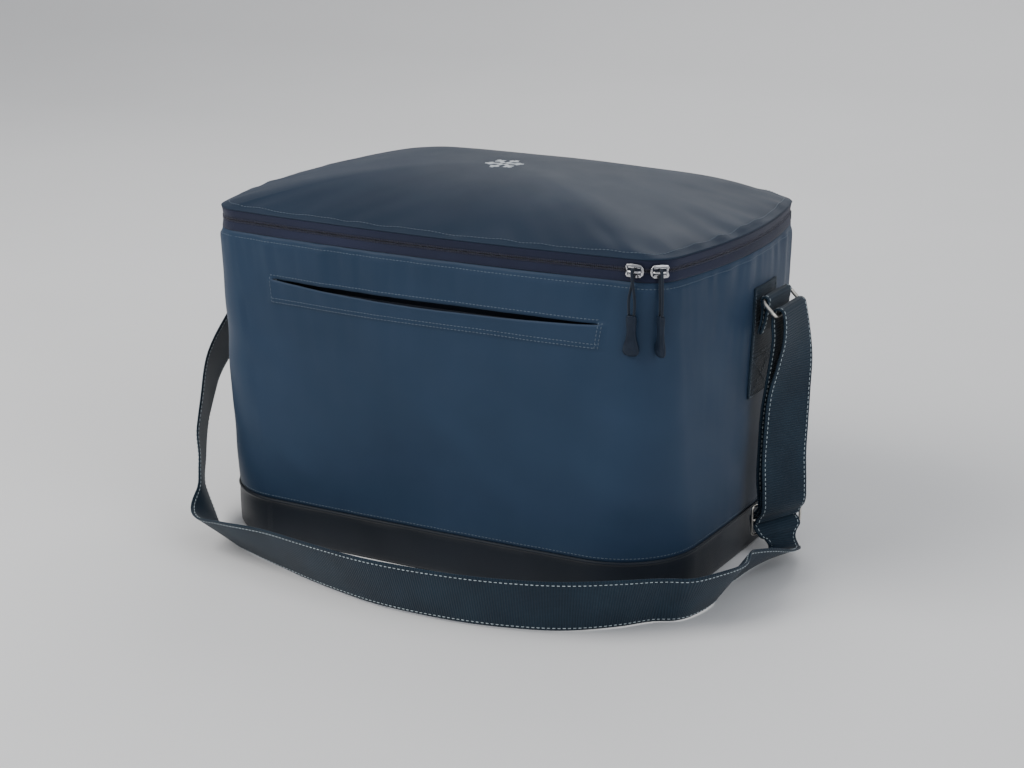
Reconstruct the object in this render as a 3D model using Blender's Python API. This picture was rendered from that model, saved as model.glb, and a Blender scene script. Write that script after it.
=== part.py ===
"""Insulated cooler bag: a soft-sided zip-lid bag with a slot pocket and a webbing shoulder strap.

Metres, +Z up, front towards -Y. The origin is the middle of the base, on the floor.
Every layer of the wall is an offset of two plan outlines, one at the base and one at the zip.
"""

import math

import bmesh
import bpy
from mathutils import Matrix, Vector

# ---------------------------------------------------------------- driving dimensions
GAP = 0.0003            # between touching pieces
SKIN = 0.0012           # coated outer fabric
BASE_SEAM_Z = 0.035     # where the dark base band stops
WRAP_TOP_Z = 0.2623     # lower seam of the zip
UPPER_SEAM_Z = 0.281    # upper seam of the zip
LID_RISE = 0.034        # crown of the lid above its seam
LID_FULLNESS = 2.4      # how quickly the crown rises from its edge
ZIP_Z = 0.2715          # parting line between the two rows of coil

# plan outlines: half width, half depth, bow radius of front/back, bow radius of sides, corner radius
TOP = dict(half_w=0.2234, half_d=0.1435, bow_front=1.94, bow_side=0.473, corner=0.028)
BASE = dict(half_w=0.2145, half_d=0.1465, bow_front=6.0, bow_side=3.0, corner=0.067)
FRONT_STEPS, SIDE_STEPS, CORNER_STEPS = 8, 6, 6

FOAM_OUT, FOAM_IN = 0.0015, 0.0135      # wall insulation, as insets from the outline
LINER_OUT, LINER_IN = 0.0138, 0.0146
FOAM_TOP_Z = 0.2580
PANEL_TOP_Z = 0.0012                    # base sheet
BOARD_Z = (0.0016, 0.0042)
BASE_FOAM_Z = (0.0046, 0.0125)
LINER_FLOOR_Z = 0.0129

TAPE_IN, TAPE_OUT = 0.0016, 0.0008
COIL_IN, COIL_OUT = 0.0020, 0.0004
COIL_GAP = 0.0007                       # half the space between the two rows
COIL_H = 0.0014

# slot pocket in the front, as x span and z span
POCKET_X = (-0.142, 0.157)
POCKET_Z = (0.100, 0.240)
POCKET_INSET = (0.0022, 0.0096)
POCKET_WALL = 0.0006
MOUTH_X = (-0.133, 0.148)
MOUTH_Z = (0.2222, 0.2308)
WELT_X = (-0.147, 0.158)
WELT_Z = (0.2050, 0.2218)

# strap hardware
WEB_W = 0.050
WEB_T = 0.0016
RING_Y = 0.030
RING_WIRE = 0.0016
RING_IN = (0.2320, 0.2220)              # x, z of the bar held by the sewn tab
RING_DROP = math.radians(44)
RING_REACH = 0.0157
RING_OUT = (RING_IN[0] + RING_REACH * math.cos(RING_DROP), RING_IN[1] - RING_REACH * math.sin(RING_DROP))
RING_HALF = 0.0280
LOOP_R = 0.0044                         # strap loop round the outer bar, to its middle
LOOP_SHIFT = (0.0007, 0.0008)
TAB_LOOP_R = 0.0031
GROUND = 0.0016                         # lower edge of the strap above the floor


# ---------------------------------------------------------------- scene and material helpers
def clear_scene():
    for obj in list(bpy.data.objects):
        bpy.data.objects.remove(obj, do_unlink=True)


def material(name, color, roughness, metallic=0.0):
    mat = bpy.data.materials.new(name)
    mat.use_nodes = True
    shader = mat.node_tree.nodes["Principled BSDF"]
    shader.inputs["Base Color"].default_value = (*color, 1.0)
    shader.inputs["Roughness"].default_value = roughness
    shader.inputs["Metallic"].default_value = metallic
    return mat


LOOKS = {
    "shell": ((0.045, 0.082, 0.150), 0.62, 0.0),
    "base": ((0.018, 0.026, 0.036), 0.50, 0.0),
    "foam": ((0.80, 0.82, 0.84), 0.90, 0.0),
    "board": ((0.55, 0.55, 0.53), 0.60, 0.0),
    "liner": ((0.62, 0.64, 0.66), 0.28, 0.3),
    "binding": ((0.030, 0.042, 0.070), 0.75, 0.0),
    "tape": ((0.028, 0.032, 0.062), 0.80, 0.0),
    "coil": ((0.030, 0.034, 0.060), 0.35, 0.0),
    "webbing": ((0.022, 0.046, 0.070), 0.70, 0.0),
    "nickel": ((0.62, 0.60, 0.56), 0.28, 1.0),
    "chrome": ((0.78, 0.78, 0.78), 0.12, 1.0),
    "cord": ((0.020, 0.032, 0.055), 0.75, 0.0),
    "grip": ((0.022, 0.036, 0.060), 0.45, 0.0),
}


def face_outwards(mesh):
    """Turn every face of a closed mesh outwards."""
    bm = bmesh.new()
    bm.from_mesh(mesh)
    bmesh.ops.recalc_face_normals(bm, faces=bm.faces)
    bm.to_mesh(mesh)
    bm.free()
    mesh.update()


def add_object(name, verts, faces, look, smooth=True):
    """One object from points and faces, with its own material."""
    mesh = bpy.data.meshes.new(name)
    mesh.from_pydata([tuple(v) for v in verts], [], faces)
    face_outwards(mesh)
    color, roughness, metallic = LOOKS[look]
    mesh.materials.append(material(name, color, roughness, metallic))
    obj = bpy.data.objects.new(name, mesh)
    bpy.context.scene.collection.objects.link(obj)
    if smooth:
        mesh.shade_smooth()
        mesh.set_sharp_from_angle(angle=math.radians(35))
    return obj


def add_cutter(name, verts, faces):
    obj = add_object(name, verts, faces, "foam", smooth=False)
    obj.hide_render = True
    obj.display_type = "WIRE"
    return obj


def cut(obj, cutter):
    mod = obj.modifiers.new("cut_" + cutter.name, "BOOLEAN")
    mod.operation = "DIFFERENCE"
    mod.object = cutter


def hinge_empty(name, location):
    empty = bpy.data.objects.new(name, None)
    empty.location = location
    bpy.context.scene.collection.objects.link(empty)
    return empty


def hang_from(empty, *objects):
    """Parent pieces to the empty on their joint's axis, leaving them where they are."""
    for obj in objects:
        obj.parent = empty
        obj.matrix_parent_inverse = Matrix.Translation(-empty.location)


# ---------------------------------------------------------------- plan outlines
def arc(centre, radius, start, end, steps):
    """Points of an arc, without its last one."""
    angles = [start + (end - start) * i / steps for i in range(steps)]
    return [(centre[0] + radius * math.cos(a), centre[1] + radius * math.sin(a)) for a in angles]


def corner_centre(plan):
    """Centre of the front right corner, whose circle touches the front bow and the side bow inside."""
    front = Vector((0.0, plan["bow_front"] - plan["half_d"]))
    side = Vector((plan["half_w"] - plan["bow_side"], 0.0))
    reach_front = plan["bow_front"] - plan["corner"]
    reach_side = plan["bow_side"] - plan["corner"]
    between = side - front
    dist = between.length
    along = (reach_front**2 - reach_side**2 + dist**2) / (2 * dist)
    across = math.sqrt(reach_front**2 - along**2)
    unit = between / dist
    foot = front + unit * along
    options = [foot + Vector((-unit.y, unit.x)) * across, foot - Vector((-unit.y, unit.x)) * across]
    return max(options, key=lambda p: p.x - p.y)


def outline(plan, inset=0.0):
    """Closed plan outline, anticlockwise from the left end of the front bow, as (x, y) pairs."""
    c = corner_centre(plan)
    front_c = (0.0, plan["bow_front"] - plan["half_d"])
    side_c = (plan["half_w"] - plan["bow_side"], 0.0)
    half_front = math.atan2(c.x, front_c[1] - c.y)
    half_side = math.atan2(-c.y, c.x - side_c[0])
    r = plan["corner"] - inset
    r_front = plan["bow_front"] - inset
    r_side = plan["bow_side"] - inset
    down, right, up, left = -math.pi / 2, 0.0, math.pi / 2, math.pi
    points = arc(front_c, r_front, down - half_front, down + half_front, FRONT_STEPS)
    points += arc((c.x, c.y), r, down + half_front, right - half_side, CORNER_STEPS)
    points += arc(side_c, r_side, right - half_side, right + half_side, SIDE_STEPS)
    points += arc((c.x, -c.y), r, right + half_side, up - half_front, CORNER_STEPS)
    points += arc((0.0, -front_c[1]), r_front, up - half_front, up + half_front, FRONT_STEPS)
    points += arc((-c.x, -c.y), r, up + half_front, left - half_side, CORNER_STEPS)
    points += arc((-side_c[0], 0.0), r_side, left - half_side, left + half_side, SIDE_STEPS)
    points += arc((-c.x, c.y), r, left + half_side, left + math.pi / 2 - half_front, CORNER_STEPS)
    return points


def body_ring(z, inset=0.0):
    """The wall's outline at height z: the base plan below its seam, easing to the zip's plan at the top."""
    share = min(1.0, max(0.0, (z - BASE_SEAM_Z) / (WRAP_TOP_Z - BASE_SEAM_Z)))
    low, high = outline(BASE, inset), outline(TOP, inset)
    return [
        Vector((a[0] + (b[0] - a[0]) * share, a[1] + (b[1] - a[1]) * share, z)) for a, b in zip(low, high)
    ]


def front_y(x, z, inset=0.0):
    """y of the wall's front at x."""
    ring = body_ring(z, inset)
    run = sorted(ring[: FRONT_STEPS + 1 + CORNER_STEPS] + ring[-CORNER_STEPS:], key=lambda p: p.x)
    for a, b in zip(run, run[1:]):
        if a.x <= x <= b.x:
            return a.y + (b.y - a.y) * (x - a.x) / (b.x - a.x)
    return run[0].y


# ---------------------------------------------------------------- solid builders
def bridge(count, first, second, rising=True):
    """Triangles between two rings. Neighbouring layers get the same diagonals, so they never touch."""
    faces = []
    for i in range(count):
        a, b = first + i, first + (i + 1) % count
        c, d = second + (i + 1) % count, second + i
        faces += [(a, b, c), (a, c, d)] if rising else [(a, b, d), (b, c, d)]
    return faces


def rises(ring, following):
    return following[0].z >= ring[0].z


def ring_solid(name, rings, look):
    """A closed band: rings of equal count that run round the band's section, joined last to first."""
    n = len(rings[0])
    verts = [p for ring in rings for p in ring]
    faces = []
    for k, ring in enumerate(rings):
        after = (k + 1) % len(rings)
        faces += bridge(n, k * n, after * n, rises(ring, rings[after]))
    return add_object(name, verts, faces, look)


def wall_solid(name, levels, outer, inner, look):
    """A wall of constant thickness through the given heights, outer and inner being insets."""
    rings = [body_ring(z, outer) for z in levels]
    rings += [body_ring(z, inner) for z in reversed(levels)]
    return ring_solid(name, rings, look)


def plate_solid(name, ring_low, ring_high, look):
    """A closed plate between two rings."""
    n = len(ring_low)
    faces = bridge(n, 0, n)
    faces.append(tuple(reversed(range(n))))
    faces.append(tuple(range(n, 2 * n)))
    return add_object(name, list(ring_low) + list(ring_high), faces, look)


def sweep(sections, name, look, cutter=False, matched=False):
    """A closed solid through equal sections, each a loop that runs the same way, with flat end caps.

    matched gives the two wide sides of a four-cornered section the same diagonals, so a thin twisted
    strip keeps its thickness.
    """
    n = len(sections[0])
    verts = [p for s in sections for p in s]
    faces = []
    for k in range(len(sections) - 1):
        faces += bridge(n, k * n, (k + 1) * n)
        if matched:
            a, b, d, c = k * n + 2, k * n + 3, (k + 1) * n + 2, (k + 1) * n + 3
            faces[-4:-2] = [(a, b, d), (b, c, d)]
    faces.append(tuple(reversed(range(n))))
    last = (len(sections) - 1) * n
    faces.append(tuple(range(last, last + n)))
    if cutter:
        return add_cutter(name, verts, faces)
    return add_object(name, verts, faces, look)


def smooth_path(points, per_span):
    """Smooth curve through the points at their own spacing; extra values in a point are carried along."""
    last = len(points) - 1
    spans = [max(math.dist(points[i][:3], points[i + 1][:3]), 1e-6) for i in range(last)]
    slopes = [[(b - a) / spans[i] for a, b in zip(points[i], points[i + 1])] for i in range(last)]
    tangents = [slopes[0]]
    for i in range(1, last):
        h0, h1 = spans[i - 1], spans[i]
        tangents.append([(h1 * a + h0 * b) / (h0 + h1) for a, b in zip(slopes[i - 1], slopes[i])])
    tangents.append(slopes[-1])
    out = []
    for i in range(last):
        for k in range(per_span):
            t = k / per_span
            h00, h10 = 2 * t**3 - 3 * t**2 + 1, (t**3 - 2 * t**2 + t) * spans[i]
            h01, h11 = 3 * t**2 - 2 * t**3, (t**3 - t**2) * spans[i]
            ends = zip(points[i], tangents[i], points[i + 1], tangents[i + 1])
            out.append([h00 * p + h10 * m + h01 * q + h11 * n for p, m, q, n in ends])
    out.append(list(points[-1]))
    return out


def ribbon(name, stations, width, thickness, look, per_span=2):
    """Flat webbing through stations of (x, y, z, wx, wy, wz): a middle point and the way its width lies.

    A seventh value narrows the webbing where it bunches up.
    """
    path = smooth_path([tuple(s) + (1.0,) * (7 - len(s)) for s in stations], per_span)
    middles = [Vector(p[:3]) for p in path]
    sections = []
    for i, p in enumerate(path):
        run = (middles[min(i + 1, len(path) - 1)] - middles[max(i - 1, 0)]).normalized()
        across = Vector(p[3:6])
        across = (across - run * across.dot(run)).normalized() * (p[6] * width / 2)
        face = run.cross(across).normalized() * (thickness / 2)
        m = middles[i]
        sections.append([m - across - face, m + across - face, m + across + face, m - across + face])
    return sweep(sections, name, look, matched=True)


def tube(name, points, radius, sides, look, closed=False, per_span=3):
    """A round wire along a smooth curve. A closed one joins its end to its start."""
    if closed:
        middles = [Vector(p) for p in points]
    else:
        middles = [Vector(p) for p in smooth_path(points, per_span)]
    n = len(middles)
    sections = []
    normal = None
    for i, m in enumerate(middles):
        ahead = middles[(i + 1) % n] if closed else middles[min(i + 1, n - 1)]
        behind = middles[i - 1] if closed or i else middles[0]
        run = (ahead - behind).normalized()
        if normal is None:
            normal = run.orthogonal().normalized()
        normal = (normal - run * normal.dot(run)).normalized()
        side = run.cross(normal)
        turns = [2 * math.pi * k / sides for k in range(sides)]
        sections.append([m + normal * radius * math.cos(a) + side * radius * math.sin(a) for a in turns])
    if closed:
        return ring_solid(name, sections, look)
    return sweep(sections, name, look)


def box_section(x0, x1, inset, z_span, steps):
    """Sections of a bar that follows the front wall from x0 to x1, between two insets and two heights."""
    sections = []
    for i in range(steps + 1):
        x = x0 + (x1 - x0) * i / steps
        corners = [(inset[1], z_span[0]), (inset[1], z_span[1]), (inset[0], z_span[1]), (inset[0], z_span[0])]
        sections.append([Vector((x, front_y(x, z, d), z)) for d, z in corners])
    return sections


# ---------------------------------------------------------------- body of the bag
def make_shell():
    """Outer fabric, base band and base sheet, with the pocket's mouth cut through the front."""
    wrap_levels = [BASE_SEAM_Z + GAP, 0.110, 0.185, WRAP_TOP_Z]
    wrap = wall_solid("outer_wrap", wrap_levels, 0.0, SKIN, "shell")
    mouth = sweep(box_section(*MOUTH_X, (-0.004, 0.0018), MOUTH_Z, 8), "mouth_cutter", "foam", cutter=True)
    cut(wrap, mouth)
    wall_solid("base_band", [0.0010, 0.012, BASE_SEAM_Z], 0.0, SKIN, "base")
    plate_solid("base_panel", body_ring(0.0, SKIN + GAP), body_ring(PANEL_TOP_Z, SKIN + GAP), "base")


def make_pocket():
    """A flat pouch behind the slot, and the stitched welt below it."""
    outer = sweep(box_section(*POCKET_X, POCKET_INSET, POCKET_Z, 8), "pocket_pouch", "binding")
    room_x = (POCKET_X[0] + POCKET_WALL, POCKET_X[1] - POCKET_WALL)
    room_z = (POCKET_Z[0] + POCKET_WALL, POCKET_Z[1] - POCKET_WALL)
    room_inset = (POCKET_INSET[0] + POCKET_WALL, POCKET_INSET[1] - POCKET_WALL)
    room = sweep(box_section(*room_x, room_inset, room_z, 8), "pouch_room_cutter", "foam", cutter=True)
    mouth = sweep(box_section(*MOUTH_X, (-0.002, 0.0040), MOUTH_Z, 8), "pouch_mouth_cutter", "foam", cutter=True)
    cut(outer, room)
    cut(outer, mouth)
    sweep(box_section(*WELT_X, (-0.0013, -GAP), WELT_Z, 10), "pocket_welt", "shell")


def make_insulation():
    """Foam walls with a recess for the pouch, base board, base foam, foil tub and the bound rim."""
    foam = wall_solid("foam_wall", [BASE_FOAM_Z[0], BASE_SEAM_Z, 0.110, 0.185, FOAM_TOP_Z], FOAM_OUT, FOAM_IN, "foam")
    recess_x = (POCKET_X[0] - GAP, POCKET_X[1] + GAP)
    recess_z = (POCKET_Z[0] - GAP, POCKET_Z[1] + GAP)
    recess = box_section(*recess_x, (-0.002, POCKET_INSET[1] + GAP), recess_z, 8)
    cut(foam, sweep(recess, "recess_cutter", "foam", cutter=True))
    board_low, board_high = BOARD_Z
    plate_solid("base_board", body_ring(board_low, FOAM_OUT), body_ring(board_high, FOAM_OUT), "board")
    foam_low, foam_high = BASE_FOAM_Z
    plate_solid("base_foam", body_ring(foam_low, LINER_OUT), body_ring(foam_high, LINER_OUT), "foam")
    make_liner_tub()
    rim_levels = [FOAM_TOP_Z + GAP, WRAP_TOP_Z]
    wall_solid("rim_binding", rim_levels, FOAM_OUT, LINER_IN + GAP, "binding")


def make_liner_tub():
    """Foil-faced tub: walls and floor in one welded skin, open at the top."""
    levels = [LINER_FLOOR_Z, BASE_SEAM_Z, 0.110, 0.185, FOAM_TOP_Z]
    outer = [body_ring(z, LINER_OUT) for z in levels]
    inner = [body_ring(z, LINER_IN) for z in reversed(levels[1:])]
    inner.append(body_ring(LINER_FLOOR_Z + 0.0008, LINER_IN))
    n = len(outer[0])
    rings = outer + inner
    verts = [p for ring in rings for p in ring]
    faces = []
    for k in range(len(rings) - 1):
        faces += bridge(n, k * n, (k + 1) * n, rises(rings[k], rings[k + 1]))
    faces.append(tuple(reversed(range(n))))
    last = (len(rings) - 1) * n
    faces.append(tuple(range(last, last + n)))
    add_object("liner_tub", verts, faces, "liner")


# ---------------------------------------------------------------- zip
def zip_path(inset):
    """The three zipped sides at one inset, from the left back corner round the front to the right one."""
    ring = outline(TOP, inset)
    front_and_right = FRONT_STEPS + CORNER_STEPS + SIDE_STEPS + CORNER_STEPS
    left_start = front_and_right + FRONT_STEPS
    return ring[left_start:] + ring[: front_and_right + 1]


def back_path(inset):
    """The hinged back side at one inset."""
    ring = outline(TOP, inset)
    start = FRONT_STEPS + 2 * CORNER_STEPS + SIDE_STEPS
    return ring[start : start + FRONT_STEPS + 1]


def strip(name, path_out, path_in, z_low, z_high, look):
    """A standing strip between two open paths."""
    sections = []
    for a, b in zip(path_out, path_in):
        corners = [(a, z_low), (a, z_high), (b, z_high), (b, z_low)]
        sections.append([Vector((p[0], p[1], z)) for p, z in corners])
    return sweep(sections, name, look)


def make_zip_rows():
    """Lower row on the bag and upper row on the lid, tape and coil, and the plain tape along the back."""
    coil_low = (ZIP_Z - COIL_GAP - COIL_H, ZIP_Z - COIL_GAP)
    coil_high = (ZIP_Z + COIL_GAP, ZIP_Z + COIL_GAP + COIL_H)
    tape_low = (WRAP_TOP_Z + GAP, coil_low[0] - GAP)
    tape_high = (coil_high[1] + GAP, UPPER_SEAM_Z - SKIN - GAP)
    made = {}
    for row, tape, coil in (("lower", tape_low, coil_low), ("upper", tape_high, coil_high)):
        made["tape_" + row] = strip("zip_tape_" + row, zip_path(TAPE_OUT), zip_path(TAPE_IN), *tape, "tape")
        made["coil_" + row] = strip("zip_coil_" + row, zip_path(COIL_OUT), zip_path(COIL_IN), *coil, "coil")
    back = [p for p in back_path(TAPE_OUT)[1:-1]]
    back_in = [p for p in back_path(TAPE_IN)[1:-1]]
    strip("hinge_tape_lower", back, back_in, tape_low[0], coil_low[1], "binding")
    made["hinge_upper"] = strip("hinge_tape_upper", back, back_in, coil_high[0], tape_high[1], "binding")
    return [made["tape_upper"], made["coil_upper"], made["hinge_upper"]]


def make_zip_end_tabs():
    """A folded fabric tab over each end of the zip, at the back corners."""
    ring_out, ring_in = outline(TOP, -0.0014), outline(TOP, 0.0001)
    right_start = FRONT_STEPS + CORNER_STEPS + SIDE_STEPS
    left_start = FRONT_STEPS * 2 + CORNER_STEPS * 2 + SIDE_STEPS
    for side, start in (("right", right_start + 2), ("left", left_start + 1)):
        chosen = slice(start, start + 4)
        strip("zip_end_tab_" + side, ring_out[chosen], ring_in[chosen], 0.2634, ZIP_Z - COIL_GAP, "binding")


SLIDER_L, SLIDER_H = 0.0150, 0.0108


def slider_frame(theta):
    """Frame on the zip at angle theta from the front, round the right corner's centre: origin, along, outward."""
    c = corner_centre(TOP)
    outward = Vector((math.sin(theta), -math.cos(theta), 0.0))
    along = Vector((math.cos(theta), math.sin(theta), 0.0))
    origin = Vector((c.x, c.y, ZIP_Z)) + outward * TOP["corner"]
    return origin, along, outward


def front_slider_frame(x):
    """Frame on the front bow at x."""
    radius = TOP["bow_front"]
    theta = math.asin(x / radius)
    outward = Vector((math.sin(theta), -math.cos(theta), 0.0))
    along = Vector((math.cos(theta), math.sin(theta), 0.0))
    origin = Vector((0.0, radius - TOP["half_d"], ZIP_Z)) + outward * radius
    return origin, along, outward


def slider_block(frame, along_span, out_span, z_span, bevel_end=0):
    """Eight or ten corners of a block in a slider's frame, as two loops of an outline in its plane."""
    origin, along, outward = frame
    a0, a1 = along_span
    z0, z1 = z_span
    loop = [(a0, z0), (a1, z0), (a1, z1), (a0, z1)]
    if bevel_end:
        cut_by = 0.0028
        near, far = (a1, a0) if bevel_end > 0 else (a0, a1)
        step = -cut_by if near > far else cut_by
        loop = [(far, z0), (near + step, z0), (near, z0 + cut_by), (near, z1 - cut_by), (near + step, z1), (far, z1)]
    return [[origin + along * a + outward * o + Vector((0, 0, z)) for a, z in loop] for o in out_span]


def make_slider(name, frame, nose):
    """Zip slider: two plates, the post between the rows of coil, and the bail that holds the puller."""
    half_l, half_h = SLIDER_L / 2, SLIDER_H / 2
    plates = [((-half_l, half_l), (0.0006, 0.0019)), ((-0.005, 0.005), (-0.0043, -0.0031))]
    parts = [slider_block(frame, a, o, (-half_h, half_h), nose) for a, o in plates]
    post = sorted((nose * 0.0010, nose * 0.0042))
    parts.append(slider_block(frame, post, (-0.0036, 0.0010), (-0.0004, 0.0004)))
    foot_far, foot_near = (-0.0062, -0.0048), (0.0048, 0.0062)
    for foot in (foot_far, foot_near):
        parts.append(slider_block(frame, foot, (0.0015, 0.0062), (-0.0011, 0.0011)))
    parts.append(slider_block(frame, (-0.0062, 0.0062), (0.0050, 0.0064), (-0.0009, 0.0009)))
    pieces = []
    for k, sections in enumerate(parts):
        pieces.append(sweep(sections, name if k == 0 else f"{name}_part_{k}", "chrome", cutter=k > 0))
    for piece in pieces[1:]:
        mod = pieces[0].modifiers.new("join_" + piece.name, "BOOLEAN")
        mod.operation = "UNION"
        mod.object = piece
    return pieces[0]


# ---------------------------------------------------------------- pullers
CORD_R = 0.0010
BAIL_OUT = 0.0057       # middle of the bail bar, outward of the zip
CORD_TURN = 0.0023      # radius of the cord's turn round the bar
CORD_DROP = 0.0330
GRIP_LEN = 0.0315


def make_puller(side, frame, twist):
    """A cord looped round the bail bar, its two legs ending in a moulded grip. twist turns the grip about Z."""
    origin, along, outward = frame
    turned = along * math.cos(twist) + outward * math.sin(twist)
    flat = outward * math.cos(twist) - along * math.sin(twist)
    bar = origin + outward * BAIL_OUT
    hang = bar - Vector((0, 0, CORD_DROP)) + outward * 0.0012
    leg = 0.0017
    top = [bar + outward * CORD_TURN * math.cos(a) + Vector((0, 0, CORD_TURN * math.sin(a)))
           for a in [math.pi * k / 6 for k in range(7)]]
    spread = turned if abs(math.sin(twist)) < 0.5 else outward * 1.0
    first, last = hang + spread * leg, hang - spread * leg
    if abs(math.sin(twist)) < 0.5:
        lead_in = [first, first + Vector((0, 0, 0.012)), bar + outward * CORD_TURN - Vector((0, 0, 0.008)) + spread * 0.001]
        lead_out = [bar - outward * CORD_TURN - Vector((0, 0, 0.0075)) - spread * 0.0012 + outward * 0.0006,
                    last + Vector((0, 0, 0.012)), last]
    else:
        lead_in = [first, first + Vector((0, 0, 0.014)), bar + outward * CORD_TURN - Vector((0, 0, 0.008))]
        lead_out = [bar - outward * (CORD_TURN - 0.0004) - Vector((0, 0, 0.0075)), last + Vector((0, 0, 0.014)), last]
    cord = tube("puller_cord_" + side, lead_in + top + lead_out, CORD_R, 8, "cord", per_span=2)
    widths = [(0.0, 0.0040), (0.006, 0.0040), (0.013, 0.0036), (0.020, 0.0050), (0.0265, 0.0068), (0.0300, 0.0058),
              (GRIP_LEN, 0.0030)]
    sections = []
    for drop, half in widths:
        centre = hang - Vector((0, 0, GAP + drop))
        depth = 0.0024 if drop < 0.03 else 0.0015
        loop = [(-1, -0.5), (-0.7, -1), (0.7, -1), (1, -0.5), (1, 0.5), (0.7, 1), (-0.7, 1), (-1, 0.5)]
        sections.append([centre + turned * half * a + flat * depth * b for a, b in loop])
    grip = sweep(sections, "puller_grip_" + side, "grip")
    return bar, [cord, grip]


# ---------------------------------------------------------------- lid
def dome_z(u):
    """Height of the lid's top fabric at share u of the way in from its edge."""
    return UPPER_SEAM_Z + LID_RISE * (1 - (1 - u) ** LID_FULLNESS)


LID_SHARES = (0.0, 0.05, 0.12, 0.24, 0.42, 0.66)


def lid_layer(name, first, top, bottom, look):
    """A crowned layer of the lid from the first share inwards; top and bottom give heights from the crown's."""
    plan = outline(TOP)
    shares = LID_SHARES[first:]
    upper = [[Vector((x * (1 - s), y * (1 - s), top(dome_z(s)))) for x, y in plan] for s in shares]
    lower = [[Vector((x * (1 - s), y * (1 - s), bottom(dome_z(s)))) for x, y in plan] for s in shares]
    n = len(plan)
    verts = [p for ring in upper + lower for p in ring]
    middle = len(verts)
    verts += [Vector((0, 0, top(dome_z(1.0)))), Vector((0, 0, bottom(dome_z(1.0))))]
    faces = bridge(n, 0, len(upper) * n)
    for k in range(len(shares) - 1):
        faces += bridge(n, k * n, (k + 1) * n)
        faces += bridge(n, (len(upper) + k) * n, (len(upper) + k + 1) * n)
    last_upper, last_lower = (len(upper) - 1) * n, (2 * len(upper) - 1) * n
    for i in range(n):
        faces.append((middle, last_upper + i, last_upper + (i + 1) % n))
        faces.append((middle + 1, last_lower + i, last_lower + (i + 1) % n))
    return add_object(name, verts, faces, look)


LID_FOAM_LOW_Z = 0.2758


def foam_underside(z):
    return max(z - 0.0112, LID_FOAM_LOW_Z)


def make_lid():
    """Crowned fabric, foam sheet, foil skin and the bound edge round the foam."""
    panel = lid_layer("lid_panel", 0, lambda z: z, lambda z: z - SKIN, "shell")
    foam = lid_layer("lid_foam", 1, lambda z: z - SKIN - GAP, foam_underside, "foam")
    liner = lid_layer(
        "lid_liner", 1, lambda z: foam_underside(z) - GAP, lambda z: foam_underside(z) - GAP - 0.0008, "liner"
    )
    return [panel, foam, liner, make_lid_binding()]


def make_lid_binding():
    """Tape bound round the foam's edge."""
    levels = (LID_FOAM_LOW_Z - 0.0008, 0.2802)
    rings = []
    for inset, order in ((0.0050, levels), (0.0060, levels[::-1])):
        plan = outline(TOP, inset)
        rings += [[Vector((x, y, z)) for x, y in plan] for z in order]
    return ring_solid("lid_binding", rings, "binding")


# ---------------------------------------------------------------- strap, rings and adjuster
def ring_wire(name, side):
    """Rectangular wire ring, 50 mm wide inside, lying between its inner and outer bars."""
    inner = Vector((side * RING_IN[0], RING_Y, RING_IN[1]))
    outer = Vector((side * RING_OUT[0], RING_Y, RING_OUT[1]))
    reach = outer - inner
    bend = 0.0035
    unit = reach.normalized()
    points = []
    corners = [(inner, -1, 1), (outer, -1, -1), (outer, 1, -1), (inner, 1, 1)]
    for base, y_sign, inward in corners:
        corner = base + Vector((0, y_sign * RING_HALF, 0))
        centre = corner + unit * bend * inward - Vector((0, y_sign * bend, 0))
        start = -unit * inward
        to_side = Vector((0, y_sign, 0))
        turns = [math.pi / 2 * k / 3 for k in range(4)]
        arc_points = [centre + start * bend * math.cos(a) + to_side * bend * math.sin(a) for a in turns]
        if (inward > 0) == (y_sign > 0):
            arc_points.reverse()
        points += arc_points
    ring = tube(name, points, RING_WIRE, 8, "nickel", closed=True)
    return ring


def turn(centre, radius, start_deg, end_deg, steps, side, width_dir):
    """Webbing stations round a bar along Y: angles from outward (away from the bag) towards up."""
    out = []
    for k in range(steps + 1):
        a = math.radians(start_deg + (end_deg - start_deg) * k / steps)
        x = centre[0] + radius * math.cos(a)
        out.append((side * x, RING_Y, centre[1] + radius * math.sin(a), *width_dir))
    return out


def tab_loop(name, side):
    """Short webbing loop that carries the ring's inner bar and is sewn to the anchor patch."""
    centre = (RING_IN[0], RING_IN[1])
    low = RING_IN[1] - 0.022
    width_dir = (0, 1, 0)
    out_x, in_x = centre[0] + 0.0001, centre[0] - 0.0023
    stations = [(side * out_x, RING_Y, low, *width_dir), (side * out_x, RING_Y, low + 0.010, *width_dir)]
    stations += turn(centre, TAB_LOOP_R, -35, 215, 10, side, width_dir)
    stations += [(side * in_x, RING_Y, low + 0.010, *width_dir), (side * in_x, RING_Y, low, *width_dir)]
    loop = ribbon(name, stations, WEB_W, WEB_T, "webbing", per_span=1)
    return loop


def anchor_patch(name, side):
    """Webbing patch sewn flat to the side panel below the ring."""
    sections = []
    for z in (0.135, 0.160, 0.185, 0.210, 0.232):
        base = max(p.x for p in body_ring(z))
        x0, x1 = base + GAP, base + GAP + 0.0016
        loop = [(x0, -1), (x1, -1), (x1, 1), (x0, 1)]
        sections.append([Vector((side * x, RING_Y + s * WEB_W / 2, z)) for x, s in loop])
    patch = sweep(sections, name, "webbing")
    return patch


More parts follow.
